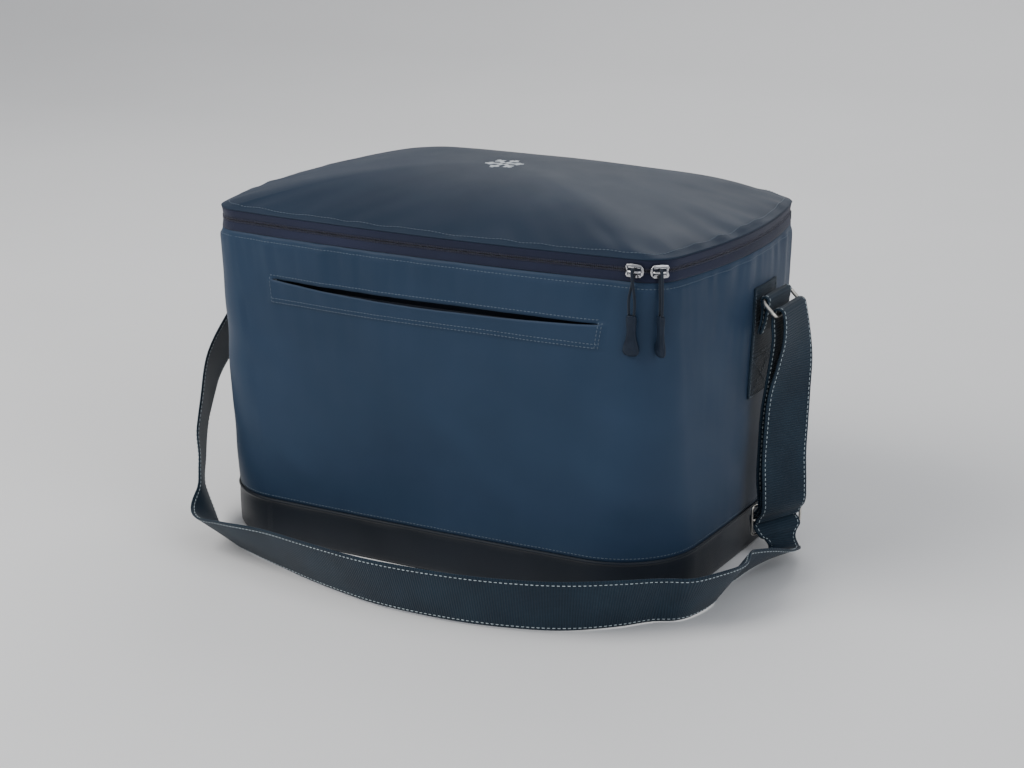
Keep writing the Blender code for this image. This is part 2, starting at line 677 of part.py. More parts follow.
# Strap route, from its sewn end on the left ring to its sewn end on the adjuster.
# Free runs are (x, y, z) with the way the webbing's upper edge lies.
LEFT_RUN = [
    (-0.2515, 0.0290, 0.1960, 0.0, -1.0, 0.0),
    (-0.2600, 0.0130, 0.1760, 0.14, -0.98, 0.10),
    (-0.2640, -0.0120, 0.1580, 0.20, -0.96, 0.16),
    (-0.2610, -0.0450, 0.1410, 0.26, -0.93, 0.24),
    (-0.2540, -0.0780, 0.1230, 0.34, -0.88, 0.32),
    (-0.2430, -0.1060, 0.0980, 0.42, -0.85, 0.31),
    (-0.2340, -0.1270, 0.0680, 0.45, -0.85, 0.28),
    (-0.2200, -0.1460, 0.0460, 0.54, -0.78, 0.30),
    (-0.2050, -0.1600, 0.0290, 0.26, -0.74, 0.60),
]
TAIL_GAP = 0.0031       # between the middles of the run and of its sewn-back tail
TAIL_TOP = (-0.2437, 0.0297, 0.2032, 0.0, -1.0, 0.0)
# Where the lower edge stands on the floor: x, y and how far the webbing leans outwards, in degrees.
FLOOR_RUN = [
    (-0.1700, -0.1700, 50), (-0.1400, -0.1850, 43), (-0.0920, -0.2030, 32), (-0.0400, -0.2190, 27),
    (0.0160, -0.2300, 24), (0.0700, -0.2300, 22), (0.1200, -0.2220, 21), (0.1640, -0.2050, 21),
    (0.1960, -0.1780, 24), (0.2138, -0.1562, 28), (0.2292, -0.1454, 30), (0.2372, -0.1262, 32),
    (0.2394, -0.1020, 36),
]
RIGHT_TURN = [
    (0.2474, -0.0732, 0.0212, 0.60, -0.08, 0.78),
    (0.2526, -0.0454, 0.0186, 0.70, 0.10, 0.62, 0.95),
    (0.2558, -0.0180, 0.0153, 0.82, 0.30, 0.40, 0.80),
    (0.2548, 0.0068, 0.0120, 0.74, 0.62, 0.18, 0.62),
    (0.2500, 0.0225, 0.0095, 0.50, 0.86, 0.02, 0.55),
]
ADJUSTER = Vector((0.2390, 0.0300, 0.0340))
ADJUSTER_W = Vector((0.419, 0.908, 0.0)).normalized()
ADJUSTER_N = Vector((0.908, -0.419, 0.0)).normalized()
# The long layer through the adjuster: height above its middle bar and distance in front of it, in mm.
THREADED = [
    (-18.0, 5.2, 0.70), (-12.4, 4.2, 0.95), (-8.2, 1.2), (-6.0, -1.6), (-3.4, -4.4), (0.0, -5.4), (3.4, -4.4), (6.0, -1.6),
    (8.2, 1.2), (12.2, 4.0), (17.0, 3.9), (24.0, 2.6), (34.0, 1.2),
]
UP_INNER = [
    (0.2400, 0.0305, 0.0950, 0.419, 0.908, 0.0),
    (0.2405, 0.0310, 0.1300, 0.38, 0.925, 0.0),
    (0.2415, 0.0305, 0.1600, 0.24, 0.97, 0.0),
    (0.2412, 0.0300, 0.1900, 0.06, 1.0, 0.0),
]
DOWN_OUTER = [
    (0.2508, 0.0300, 0.1930, 0.06, 1.0, 0.0),
    (0.2500, 0.0298, 0.1680, 0.24, 0.97, 0.0),
    (0.2470, 0.0290, 0.1420, 0.38, 0.925, 0.0),
    (0.2456, 0.0282, 0.1100, 0.419, 0.908, 0.0),
    (0.2450, 0.0275, 0.0850, 0.419, 0.908, 0.0),
]
# The sewn end round the adjuster's middle bar, in the same terms as THREADED.
SEWN_END = [(28.0, 8.2), (20.0, 8.6), (12.0, 8.7), (6.8, 7.0), (3.0, 4.0), (0.4, 2.5)]
SEWN_TAIL = [(-1.8, 1.8), (-2.6, 0.0), (-1.8, -1.8), (0.0, -2.6), (1.9, -1.8), (4.2, 1.2), (7.6, 4.6), (12.0, 6.3),
             (20.0, 6.2), (27.0, 5.8)]


def at_adjuster(pairs):
    """Stations in the adjuster's own frame."""
    out = []
    for up_mm, front_mm, *pinch in pairs:
        p = ADJUSTER + Vector((0, 0, up_mm / 1000)) + ADJUSTER_N * (front_mm / 1000)
        out.append((*p, *ADJUSTER_W, *pinch))
    return out


def doubled_back(run, offset):
    """The sewn tail: the start of a run again, in reverse, on its bag side."""
    path = smooth_path(run, 4)
    out = []
    for i in (12, 10, 8, 6):
        along = (Vector(path[i + 1][:3]) - Vector(path[i - 1][:3])).normalized()
        across = Vector(path[i][3:6])
        inward = along.cross(across).normalized()
        if inward.x < 0:
            inward = -inward
        out.append((*(Vector(path[i][:3]) + inward * offset), *across))
    return out + [TAIL_TOP]


def floor_stations():
    """The floor run as stations: the webbing stands on its lower edge and leans away from the bag."""
    out = []
    for i, (x, y, lean) in enumerate(FLOOR_RUN):
        before = FLOOR_RUN[max(i - 1, 0)]
        after = FLOOR_RUN[min(i + 1, len(FLOOR_RUN) - 1)]
        run = Vector((after[0] - before[0], after[1] - before[1], 0)).normalized()
        outward = Vector((run.y, -run.x, 0))
        tilt = math.radians(lean)
        edge = outward * math.sin(tilt) + Vector((0, 0, math.cos(tilt)))
        middle = Vector((x, y, GROUND)) + edge * (WEB_W / 2)
        out.append((*middle, *edge))
    return out


def make_strap():
    """One length of webbing, looped round both rings and threaded through the adjuster."""
    loop_centre = (RING_OUT[0] + LOOP_SHIFT[0], RING_OUT[1] + LOOP_SHIFT[1])
    left_loop = turn(loop_centre, LOOP_R, 180, 0, 6, -1, (0, -1, 0))
    stations = doubled_back(left_loop[-1:] + LEFT_RUN, TAIL_GAP) + left_loop
    stations += LEFT_RUN + floor_stations() + RIGHT_TURN
    stations += at_adjuster(THREADED) + UP_INNER
    stations += turn(loop_centre, LOOP_R, 180, 0, 6, 1, (0, 1, 0))
    stations += DOWN_OUTER + at_adjuster(SEWN_END + SEWN_TAIL)
    strap = ribbon("strap_webbing", stations, WEB_W, WEB_T, "webbing", per_span=2)
    return strap


def make_adjuster():
    """Three-bar slide: a flat frame with a middle bar, made as one casting."""
    half_w, half_h, wire, depth = 0.0285, 0.0134, 0.0011, 0.0010

    def block(w_span, h_span, name, cutter):
        loop = [(w_span[0], h_span[0]), (w_span[1], h_span[0]), (w_span[1], h_span[1]), (w_span[0], h_span[1])]
        sections = []
        for d in (-depth, depth):
            sections.append([ADJUSTER + ADJUSTER_W * w + ADJUSTER_N * d + Vector((0, 0, h)) for w, h in loop])
        piece = sweep(sections, name, "nickel", cutter=cutter)
        return piece

    frame = block((-half_w, half_w), (-half_h, half_h), "strap_adjuster", False)
    slot_w = half_w - 2 * wire
    for k, span in enumerate(((0.0010, half_h - 2 * wire), (-half_h + 2 * wire, -0.0010))):
        origin_depth = 0.004
        loop = [(-slot_w, span[0]), (slot_w, span[0]), (slot_w, span[1]), (-slot_w, span[1])]
        sections = []
        for d in (-origin_depth, origin_depth):
            sections.append([ADJUSTER + ADJUSTER_W * w + ADJUSTER_N * d + Vector((0, 0, h)) for w, h in loop])
        slot = sweep(sections, f"slot_cutter_{k}", "nickel", cutter=True)
        cut(frame, slot)
    return frame


# ---------------------------------------------------------------- assembly
def main():
    clear_scene()
    make_shell()
    make_pocket()
    make_insulation()
    lid_zip = make_zip_rows()
    make_zip_end_tabs()

    lid_hinge = hinge_empty("lid_hinge_axis", (0.0, TOP["half_d"] + 0.001, ZIP_Z))
    hang_from(lid_hinge, *make_lid(), *lid_zip)

    left_frame = front_slider_frame(0.1835)
    right_frame = slider_frame(math.radians(40))
    for side, frame, nose, twist in (("left", left_frame, 1, 0.0), ("right", right_frame, -1, math.radians(75))):
        slider = make_slider("zip_slider_" + side, frame, nose)
        bar, hanging = make_puller(side, frame, twist)
        hang_from(hinge_empty(f"puller_{side}_axis", bar), *hanging)
        hang_from(hinge_empty(f"slider_{side}_axis", frame[0]), slider)

    strap_axis = hinge_empty("strap_axis", (0.0, RING_Y, (RING_IN[1] + RING_OUT[1]) / 2))
    hang_from(strap_axis, make_strap())
    for side, sign in (("left", -1), ("right", 1)):
        anchor_patch("anchor_patch_" + side, sign)
        hang_from(strap_axis, tab_loop("tab_loop_" + side, sign))
        ring_axis = hinge_empty(f"ring_{side}_axis", (sign * RING_IN[0], RING_Y, RING_IN[1]))
        hang_from(ring_axis, ring_wire("ring_" + side, sign))
    hang_from(hinge_empty("adjuster_axis", ADJUSTER), make_adjuster())


main()
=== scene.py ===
"""Insulated cooler bag: fabric shell, zip, webbing, hardware and foil lining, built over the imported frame.

Metres, +Z up, front towards -Y, in the frame's own coordinates.
"""

import math

import bpy
import numpy as np
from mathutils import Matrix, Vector, noise


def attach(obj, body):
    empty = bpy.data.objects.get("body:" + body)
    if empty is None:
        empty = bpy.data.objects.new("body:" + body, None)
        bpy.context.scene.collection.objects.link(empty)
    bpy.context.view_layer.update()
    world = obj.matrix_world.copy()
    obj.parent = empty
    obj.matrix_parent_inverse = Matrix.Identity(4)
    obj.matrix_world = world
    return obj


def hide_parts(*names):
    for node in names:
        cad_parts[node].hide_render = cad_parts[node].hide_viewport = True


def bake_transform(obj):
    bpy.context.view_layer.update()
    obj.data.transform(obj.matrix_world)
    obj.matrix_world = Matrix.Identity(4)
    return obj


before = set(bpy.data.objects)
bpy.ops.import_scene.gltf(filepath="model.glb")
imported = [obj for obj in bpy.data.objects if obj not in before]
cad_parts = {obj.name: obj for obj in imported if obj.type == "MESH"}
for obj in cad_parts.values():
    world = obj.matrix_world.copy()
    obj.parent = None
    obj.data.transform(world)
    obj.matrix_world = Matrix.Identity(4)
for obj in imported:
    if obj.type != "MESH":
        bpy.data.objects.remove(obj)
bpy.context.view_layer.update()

# ---- dimensions shared with the solids
BASE_SEAM_Z, WRAP_TOP_Z, UPPER_SEAM_Z, ZIP_Z = 0.035, 0.2623, 0.281, 0.2715
LID_RISE, LID_FULLNESS = 0.034, 2.4
TOP = dict(half_w=0.2234, half_d=0.1435, bow_front=1.94, bow_side=0.473, corner=0.028)
BASE = dict(half_w=0.2145, half_d=0.1465, bow_front=6.0, bow_side=3.0, corner=0.067)
FRONT, CORNER, SIDE = 120, 18, 64
LINER_IN = 0.0144
WEB_W, WEB_T, STITCH_INSET, RING_Y = 0.050, 0.0016, 0.0031, 0.030
RING_IN = (0.2320, 0.2220)
RING_DROP = math.radians(44)
RING_OUT = (RING_IN[0] + 0.0157 * math.cos(RING_DROP), RING_IN[1] - 0.0157 * math.sin(RING_DROP))
RING_WIRE, RING_HALF = 0.0016, 0.0280
SEAM_PITCH, SEAM_THREAD = 0.0032, 0.00022     # topstitching of the fabric, finer than that of the webbing
LOOP_R, TAB_LOOP_R, GROUND = 0.0044, 0.0031, 0.0016
UP = Vector((0, 0, 1))


# ---- materials
def socket_noise(tree, coords, scale, detail):
    node = tree.nodes.new("ShaderNodeTexNoise")
    node.inputs["Scale"].default_value = scale
    node.inputs["Detail"].default_value = detail
    node.inputs["Roughness"].default_value = 0.55
    tree.links.new(coords, node.inputs["Vector"])
    return node.outputs["Fac"]


def math_node(tree, operation, a, b=None):
    node = tree.nodes.new("ShaderNodeMath")
    node.operation = operation
    for k, value in enumerate((a, b)):
        if value is None:
            continue
        if isinstance(value, (int, float)):
            node.inputs[k].default_value = value
        else:
            tree.links.new(value, node.inputs[k])
    return node.outputs[0]


def scale_by(tree, value, factor):
    return math_node(tree, "MULTIPLY", value, factor)


def paint(tree, shader, fac, a, b):
    """Base colour that runs from a to b with fac."""
    node = tree.nodes.new("ShaderNodeMix")
    node.data_type = "RGBA"
    tree.links.new(fac, node.inputs[0])
    node.inputs[6].default_value = (*a, 1.0)
    node.inputs[7].default_value = (*b, 1.0)
    tree.links.new(node.outputs[2], shader.inputs["Base Color"])


def blotches(tree, coords, scale, detail, low, high):
    """Noise whose values from low to high are stretched to 0 to 1."""
    node = tree.nodes.new("ShaderNodeMapRange")
    node.inputs["From Min"].default_value = low
    node.inputs["From Max"].default_value = high
    tree.links.new(socket_noise(tree, coords, scale, detail), node.inputs["Value"])
    return node.outputs["Result"]


def new_material(name, rough, metallic=0.0, sheen=0.0, coat=0.0):
    mat = bpy.data.materials.new(name)
    mat.use_nodes = True
    tree = mat.node_tree
    shader = tree.nodes["Principled BSDF"]
    shader.inputs["Roughness"].default_value = rough
    shader.inputs["Metallic"].default_value = metallic
    shader.inputs["Specular IOR Level"].default_value = 0.5 if metallic else 0.20
    shader.inputs["Sheen Weight"].default_value = sheen
    shader.inputs["Sheen Roughness"].default_value = 0.5
    shader.inputs["Coat Weight"].default_value = coat
    return mat, tree, shader


def bump(tree, shader, height, strength, distance):
    node = tree.nodes.new("ShaderNodeBump")
    node.inputs["Strength"].default_value = strength
    node.inputs["Distance"].default_value = distance
    tree.links.new(height, node.inputs["Height"])
    tree.links.new(node.outputs["Normal"], shader.inputs["Normal"])


def coords_of(tree, which="Object"):
    return tree.nodes.new("ShaderNodeTexCoord").outputs[which]


def waves(tree, pitch_x, pitch_y):
    """Sine waves along both directions of a UV map in metres."""
    node = tree.nodes.new("ShaderNodeSeparateXYZ")
    tree.links.new(coords_of(tree, "UV"), node.inputs[0])
    scaled = [scale_by(tree, node.outputs[k], 2 * math.pi / pitch) for k, pitch in enumerate((pitch_x, pitch_y))]
    return [math_node(tree, "SINE", value) for value in scaled]


def mottled(name, rough, scale, dark, light, detail=3.0, low=0.3, high=0.7, **extra):
    """A material whose colour drifts from dark to light, with its coordinates and its drift."""
    mat, tree, shader = new_material(name, rough, **extra)
    where = coords_of(tree)
    drift = blotches(tree, where, scale, detail, low, high)
    paint(tree, shader, drift, dark, light)
    return mat, tree, shader, where, drift


def cloth(name, dark, light, rough, pitch=0.0007, mottling=7.0, sheen=0.12, depth=0.00008):
    """Woven synthetic: broad colour drift, fine slub and a plain weave."""
    mat, tree, shader, where, _ = mottled(name, rough, mottling, dark, light, 4.0, 0.32, sheen=sheen)
    slub = socket_noise(tree, where, 900.0, 2.0)
    threads = math_node(tree, "MULTIPLY", *waves(tree, pitch, pitch))
    bump(tree, shader, math_node(tree, "ADD", scale_by(tree, threads, 0.5), slub), 0.35, depth)
    spread = blotches(tree, where, 22.0, 3.0, 0.2, 0.9)
    varied = math_node(tree, "ADD", scale_by(tree, spread, 0.12), rough - 0.06)
    tree.links.new(varied, shader.inputs["Roughness"])
    return mat


def webbing_look():
    """Ribbed webbing: ribs across the length and fine cords along it, from a UV map in metres (length, width)."""
    mat, tree, shader = new_material("webbing_ribbed", 0.62, sheen=0.08)
    ribs, cords = waves(tree, 0.0021, 0.0013)
    bump(tree, shader, math_node(tree, "ADD", ribs, scale_by(tree, cords, 0.35)), 0.55, 0.00022)
    drift = blotches(tree, coords_of(tree), 24.0, 3.0, 0.3, 0.75)
    # Colour: random drift, plus painted shade that darkens the grooves between the ribs and lightens their crests.
    shade = math_node(tree, "ADD", scale_by(tree, drift, 0.6), scale_by(tree, ribs, 0.22))
    paint(tree, shader, shade, (0.0030, 0.0125, 0.0250), (0.0110, 0.0320, 0.0540))
    return mat


def metal_look(name, color, rough, scratch):
    worn = tuple(c * 0.82 for c in color)
    mat, tree, shader, where, _ = mottled(name, rough, 160.0, worn, color, metallic=1.0)
    spread = scale_by(tree, socket_noise(tree, where, 700.0, 4.0), scratch)
    tree.links.new(math_node(tree, "ADD", spread, rough - scratch / 2), shader.inputs["Roughness"])
    bump(tree, shader, socket_noise(tree, where, 1400.0, 2.0), 0.12, 0.00004)
    return mat


def foil_look():
    dull, bright = (0.52, 0.54, 0.56), (0.78, 0.80, 0.82)
    mat, tree, shader, where, _ = mottled("foil_film", 0.30, 14.0, dull, bright, metallic=0.75, coat=0.3)
    creases = tree.nodes.new("ShaderNodeTexVoronoi")
    creases.feature = "DISTANCE_TO_EDGE"
    creases.inputs["Scale"].default_value = 34.0
    tree.links.new(where, creases.inputs["Vector"])
    height = math_node(tree, "ADD", math_node(tree, "MINIMUM", creases.outputs["Distance"], 0.16),
                       scale_by(tree, socket_noise(tree, where, 60.0, 4.0), 0.3))
    bump(tree, shader, height, 0.6, 0.0016)
    return mat


def foam_look(name, dark, light, scale=420.0):
    mat, tree, shader, _, cells = mottled(name, 0.9, scale, dark, light)
    bump(tree, shader, cells, 0.5, 0.0004)
    return mat


def rubber_look():
    dark, light = (0.0060, 0.0110, 0.0220), (0.0120, 0.0200, 0.0360)
    mat, tree, shader, where, _ = mottled("grip_moulded", 0.42, 120.0, dark, light)
    bump(tree, shader, socket_noise(tree, where, 2600.0, 2.0), 0.25, 0.00005)
    return mat


def thread_look(name, color):
    return mottled(name, 0.6, 260.0, tuple(c * 0.6 for c in color), color, 2.0, 0.25, 0.75, sheen=0.3)[0]


SHELL = cloth("shell_polyester", (0.0130, 0.0310, 0.0630), (0.0215, 0.0450, 0.0870), 0.52, mottling=5.0, sheen=0.03)
# The lid's cloth is the walls' navy painted darker: painted shade that offsets the stronger light falling on the top.
LID_CLOTH_PAINTED_SHADE = cloth("lid_polyester_painted_shade", (0.0072, 0.0180, 0.0380), (0.0115, 0.0260, 0.0520), 0.56, mottling=5.0, sheen=0.02)
BAND = cloth("base_coated", (0.0045, 0.0075, 0.0130), (0.0085, 0.0130, 0.0210), 0.46, pitch=0.0012, depth=0.00015)
BINDING = cloth("binding_woven", (0.0070, 0.0110, 0.0220), (0.0150, 0.0220, 0.0380), 0.72, pitch=0.0014, depth=0.0002)
TAPE = cloth("zip_tape_woven", (0.0060, 0.0090, 0.0260), (0.0125, 0.0170, 0.0440), 0.72, pitch=0.0009, depth=0.0002)
COIL = thread_look("zip_coil_nylon", (0.0200, 0.0220, 0.0480))
WEBBING = webbing_look()
NICKEL = metal_look("nickel_satin", (0.66, 0.63, 0.57), 0.30, 0.14)
CHROME = metal_look("chrome_polished", (0.58, 0.58, 0.60), 0.16, 0.08)
FOIL = foil_look()
FOAM = foam_look("foam_cells", (0.62, 0.64, 0.66), (0.80, 0.82, 0.84))
BOARD = foam_look("board_sheet", (0.42, 0.42, 0.40), (0.58, 0.58, 0.55), 90.0)
GRIP = rubber_look()
CORD = cloth("cord_braid", (0.0060, 0.0110, 0.0200), (0.0140, 0.0220, 0.0380), 0.7, pitch=0.0012, depth=0.0002)
THREAD_PALE = thread_look("thread_pale", (0.50, 0.58, 0.62))
THREAD_BLUE = thread_look("thread_blue", (0.120, 0.165, 0.215))
PRINT = thread_look("print_ink", (0.60, 0.66, 0.72))


# ---- outlines
def corner_centre(plan):
    front = Vector((0.0, plan["bow_front"] - plan["half_d"]))
    side = Vector((plan["half_w"] - plan["bow_side"], 0.0))
    reach_front = plan["bow_front"] - plan["corner"]
    reach_side = plan["bow_side"] - plan["corner"]
    between = side - front
    dist = between.length
    along = (reach_front**2 - reach_side**2 + dist**2) / (2 * dist)
    across = math.sqrt(reach_front**2 - along**2)
    unit = between / dist
    foot = front + unit * along
    options = [foot + Vector((-unit.y, unit.x)) * across, foot - Vector((-unit.y, unit.x)) * across]
    return max(options, key=lambda p: p.x - p.y)


def outline(plan):
    """Points and outward normals of a plan, anticlockwise from the left end of the front."""
    c = corner_centre(plan)
    fy = plan["bow_front"] - plan["half_d"]
    sx = plan["half_w"] - plan["bow_side"]
    hf = math.atan2(c.x, fy - c.y)
    hs = math.atan2(-c.y, c.x - sx)
    down, right, up, left = -math.pi / 2, 0.0, math.pi / 2, math.pi
    parts = [
        ((0, fy), plan["bow_front"], down - hf, down + hf, FRONT),
        ((c.x, c.y), plan["corner"], down + hf, right - hs, CORNER),
        ((sx, 0), plan["bow_side"], right - hs, right + hs, SIDE),
        ((c.x, -c.y), plan["corner"], right + hs, up - hf, CORNER),
        ((0, -fy), plan["bow_front"], up - hf, up + hf, FRONT),
        ((-c.x, -c.y), plan["corner"], up + hf, left - hs, CORNER),
        ((-sx, 0), plan["bow_side"], left - hs, left + hs, SIDE),
        ((-c.x, c.y), plan["corner"], left + hs, left + math.pi / 2 - hf, CORNER),
    ]
    points, normals = [], []
    for centre, radius, a0, a1, steps in parts:
        for i in range(steps):
            a = a0 + (a1 - a0) * i / steps
            points.append((centre[0] + radius * math.cos(a), centre[1] + radius * math.sin(a)))
            normals.append((math.cos(a), math.sin(a)))
    return np.array(points), np.array(normals)


TOP_P, TOP_N = outline(TOP)
BASE_P, BASE_N = outline(BASE)
COUNT = len(TOP_P)
STEP = np.linalg.norm(np.roll(TOP_P, -1, axis=0) - TOP_P, axis=1)
ARC = np.concatenate([[0.0], np.cumsum(STEP)[:-1]])
ZIP_END = FRONT + 2 * CORNER + SIDE
ZIP_START = ZIP_END + FRONT
ZIP_INDEX = list(range(ZIP_START, COUNT)) + list(range(0, ZIP_END + 1))
BACK_INDEX = list(range(ZIP_END, ZIP_START + 1))


def clamp(x):
    return min(1.0, max(0.0, x))


def wall_share(z):
    """How far up the wall a height is, from 0 at the base seam to 1 at the zip."""
    return clamp((z - BASE_SEAM_Z) / (WRAP_TOP_Z - BASE_SEAM_Z))


def wall(i, z, out=0.0):
    """Point of the wall at outline index i and height z, moved outwards."""
    share = wall_share(z)
    p = BASE_P[i] + (TOP_P[i] - BASE_P[i]) * share
    n = BASE_N[i] + (TOP_N[i] - BASE_N[i]) * share
    n = n / np.linalg.norm(n)
    return Vector((p[0] + n[0] * out, p[1] + n[1] * out, z))


def rim_point(i, out, z):
    """Point beside the top outline, moved outwards."""
    return Vector((*(TOP_P[i] + TOP_N[i] * out), z))


def dents(x, y, z):
    return noise.noise(Vector((x, y, z)))


def smoothstep(a, b, x):
    t = clamp((x - a) / (b - a))
    return t * t * (3 - 2 * t)


# ---- mesh builders
def settle(piece, body, slot, *nodes):
    """Hide the CAD nodes a piece stands for and attach it to the body it moves with; slot is not used."""
    if nodes:
        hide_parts(*nodes)
    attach(piece, body)


def build(name, verts, faces, mat, uvs=None):
    """A smooth-shaded mesh with one UV per vertex, all at zero when none are given."""
    mesh = bpy.data.meshes.new(name)
    mesh.from_pydata([tuple(v) for v in verts], [], faces)
    mesh.update()
    uvs = uvs or [(0.0, 0.0)] * len(verts)
    layer = mesh.uv_layers.new(name="UVMap")
    layer.data.foreach_set("uv", np.array([uvs[loop.vertex_index] for loop in mesh.loops], dtype=float).ravel())
    mesh.materials.append(mat)
    obj = bpy.data.objects.new(name, mesh)
    bpy.context.scene.collection.objects.link(obj)
    mesh.shade_smooth()
    return obj


def thicken(obj, thickness, offset=-1.0):
    mod = obj.modifiers.new("thickness", "SOLIDIFY")
    mod.thickness = thickness
    mod.offset = offset
    return obj


def quads(count, n, closed=True, flip=False, looped=False, skip=None):
    """Faces between count rows of n points; closed joins each row's ends, looped the last row to the first."""
    faces = []
    for k in range(count if looped else count - 1):
        q = (k + 1) % count
        for i in range(n if closed else n - 1):
            if skip and skip(k, i):
                continue
            j = (i + 1) % n
            a, b, c, d = k * n + i, k * n + j, q * n + j, q * n + i
            faces.append((a, d, c, b) if flip else (a, b, c, d))
    return faces


def prism(count, n, first=0, flip=False):
    """Faces of a rod of count rows of n points, closed at both ends."""
    near, far = list(range(n)), [(count - 1) * n + i for i in range(n)]
    ends = [near, far[::-1]] if flip else [near[::-1], far]
    return [tuple(first + v for v in face) for face in quads(count, n, flip=flip) + ends]


def grid(name, rows, mat, uvs, closed=True, skip=None):
    """A surface through rows of equal count; closed joins each row's end to its start."""
    verts = [p for row in rows for p in row]
    flat_uv = [p for row in uvs for p in row]
    return build(name, verts, quads(len(rows), len(rows[0]), closed, skip=skip), mat, flat_uv)


def domed(name, rows, uvs, tip, mat, flip=False):
    """A surface through closed rows that run in to one point on the middle line, at height tip."""
    n = len(rows[0])
    verts = [p for row in rows for p in row] + [Vector((0, 0, tip))]
    flat_uv = [p for row in uvs for p in row] + [(0.0, 0.0)]
    faces = quads(len(rows), n, flip=flip)
    last = (len(rows) - 1) * n
    for i in range(n):
        a, b = last + i, last + (i + 1) % n
        faces.append((b, a, len(verts) - 1) if flip else (a, b, len(verts) - 1))
    return build(name, verts, faces, mat, flat_uv)


def along_line(pts, normals):
    """A function giving the point and normal at a distance along a line, and the line's length."""
    lengths = [0.0]
    for a, b in zip(pts, pts[1:]):
        lengths.append(lengths[-1] + (b - a).length)

    def at(s):
        k = min(max(int(np.searchsorted(lengths, s)) - 1, 0), len(pts) - 2)
        t = (s - lengths[k]) / max(lengths[k + 1] - lengths[k], 1e-9)
        return pts[k].lerp(pts[k + 1], t), normals[k].lerp(normals[k + 1], t).normalized()

    return at, lengths[-1]


def stitches(name, lines, mat, pitch=0.0040, radius=0.00032):
    """Thread dashes along lines of (point, normal) pairs, laid on the surface."""
    verts, faces = [], []
    sides, share, sink = 6, 0.62, 0.35
    ring = [(math.cos(a), math.sin(a)) for a in [2 * math.pi * k / sides for k in range(sides)]]
    profile = [(0.0, 0.35), (0.18, 0.95), (0.82, 0.95), (1.0, 0.35)]
    for line in lines:
        at, total = along_line([Vector(p) for p, _ in line], [Vector(q) for _, q in line])
        for d in range(max(1, int(total / pitch))):
            s0 = (d + (1 - share) / 2) * pitch
            a, na = at(s0)
            b, nb = at(s0 + share * pitch)
            run = (b - a).normalized()
            normal = (na + nb).normalized()
            side = run.cross(normal).normalized()
            faces += prism(len(profile), sides, len(verts))
            for t, scale in profile:
                lift = normal * radius * (1 - sink - (0.5 if scale < 0.5 else 0.0))
                centre = a.lerp(b, t) + lift
                for c, e in ring:
                    verts.append(centre + side * radius * 1.25 * scale * c + normal * radius * scale * e)
    return build(name, verts, faces, mat)


def tube(name, middles, radius, mat, sides=16, closed=False, squash=1.0, flat_dir=None):
    """A round rod along the middles; squash flattens it along flat_dir."""
    n = len(middles)
    verts, uvs = [], []
    normal = None
    run_len = 0.0
    for i, m in enumerate(middles):
        ahead = middles[(i + 1) % n] if closed else middles[min(i + 1, n - 1)]
        behind = middles[i - 1] if closed or i else middles[0]
        run = (ahead - behind).normalized()
        if flat_dir is not None:
            normal = flat_dir
        elif normal is None:
            normal = run.orthogonal().normalized()
        normal = (normal - run * normal.dot(run)).normalized()
        side = run.cross(normal)
        for k in range(sides):
            a = 2 * math.pi * k / sides
            verts.append(m + normal * radius * squash * math.cos(a) + side * radius * math.sin(a))
            uvs.append((run_len, radius * a))
        run_len += (ahead - m).length
    faces = quads(n, sides, looped=True) if closed else prism(n, sides)
    return build(name, verts, faces, mat, uvs)


def smooth_path(points, per_span):
    """Smooth curve through the points at their own spacing; extra values in a point are carried along."""
    last = len(points) - 1
    spans = [max(math.dist(points[i][:3], points[i + 1][:3]), 1e-6) for i in range(last)]
    slopes = [[(b - a) / spans[i] for a, b in zip(points[i], points[i + 1])] for i in range(last)]
    tangents = [slopes[0]]
    for i in range(1, last):
        h0, h1 = spans[i - 1], spans[i]
        tangents.append([(h1 * a + h0 * b) / (h0 + h1) for a, b in zip(slopes[i - 1], slopes[i])])
    tangents.append(slopes[-1])
    out = []
    for i in range(last):
        for k in range(per_span):
            t = k / per_span
            h00, h10 = 2 * t**3 - 3 * t**2 + 1, (t**3 - 2 * t**2 + t) * spans[i]
            h01, h11 = 3 * t**2 - 2 * t**3, (t**3 - t**2) * spans[i]
            ends = zip(points[i], tangents[i], points[i + 1], tangents[i + 1])
            out.append([h00 * p + h10 * m + h01 * q + h11 * n for p, m, q, n in ends])
    out.append(list(points[-1]))
    return out


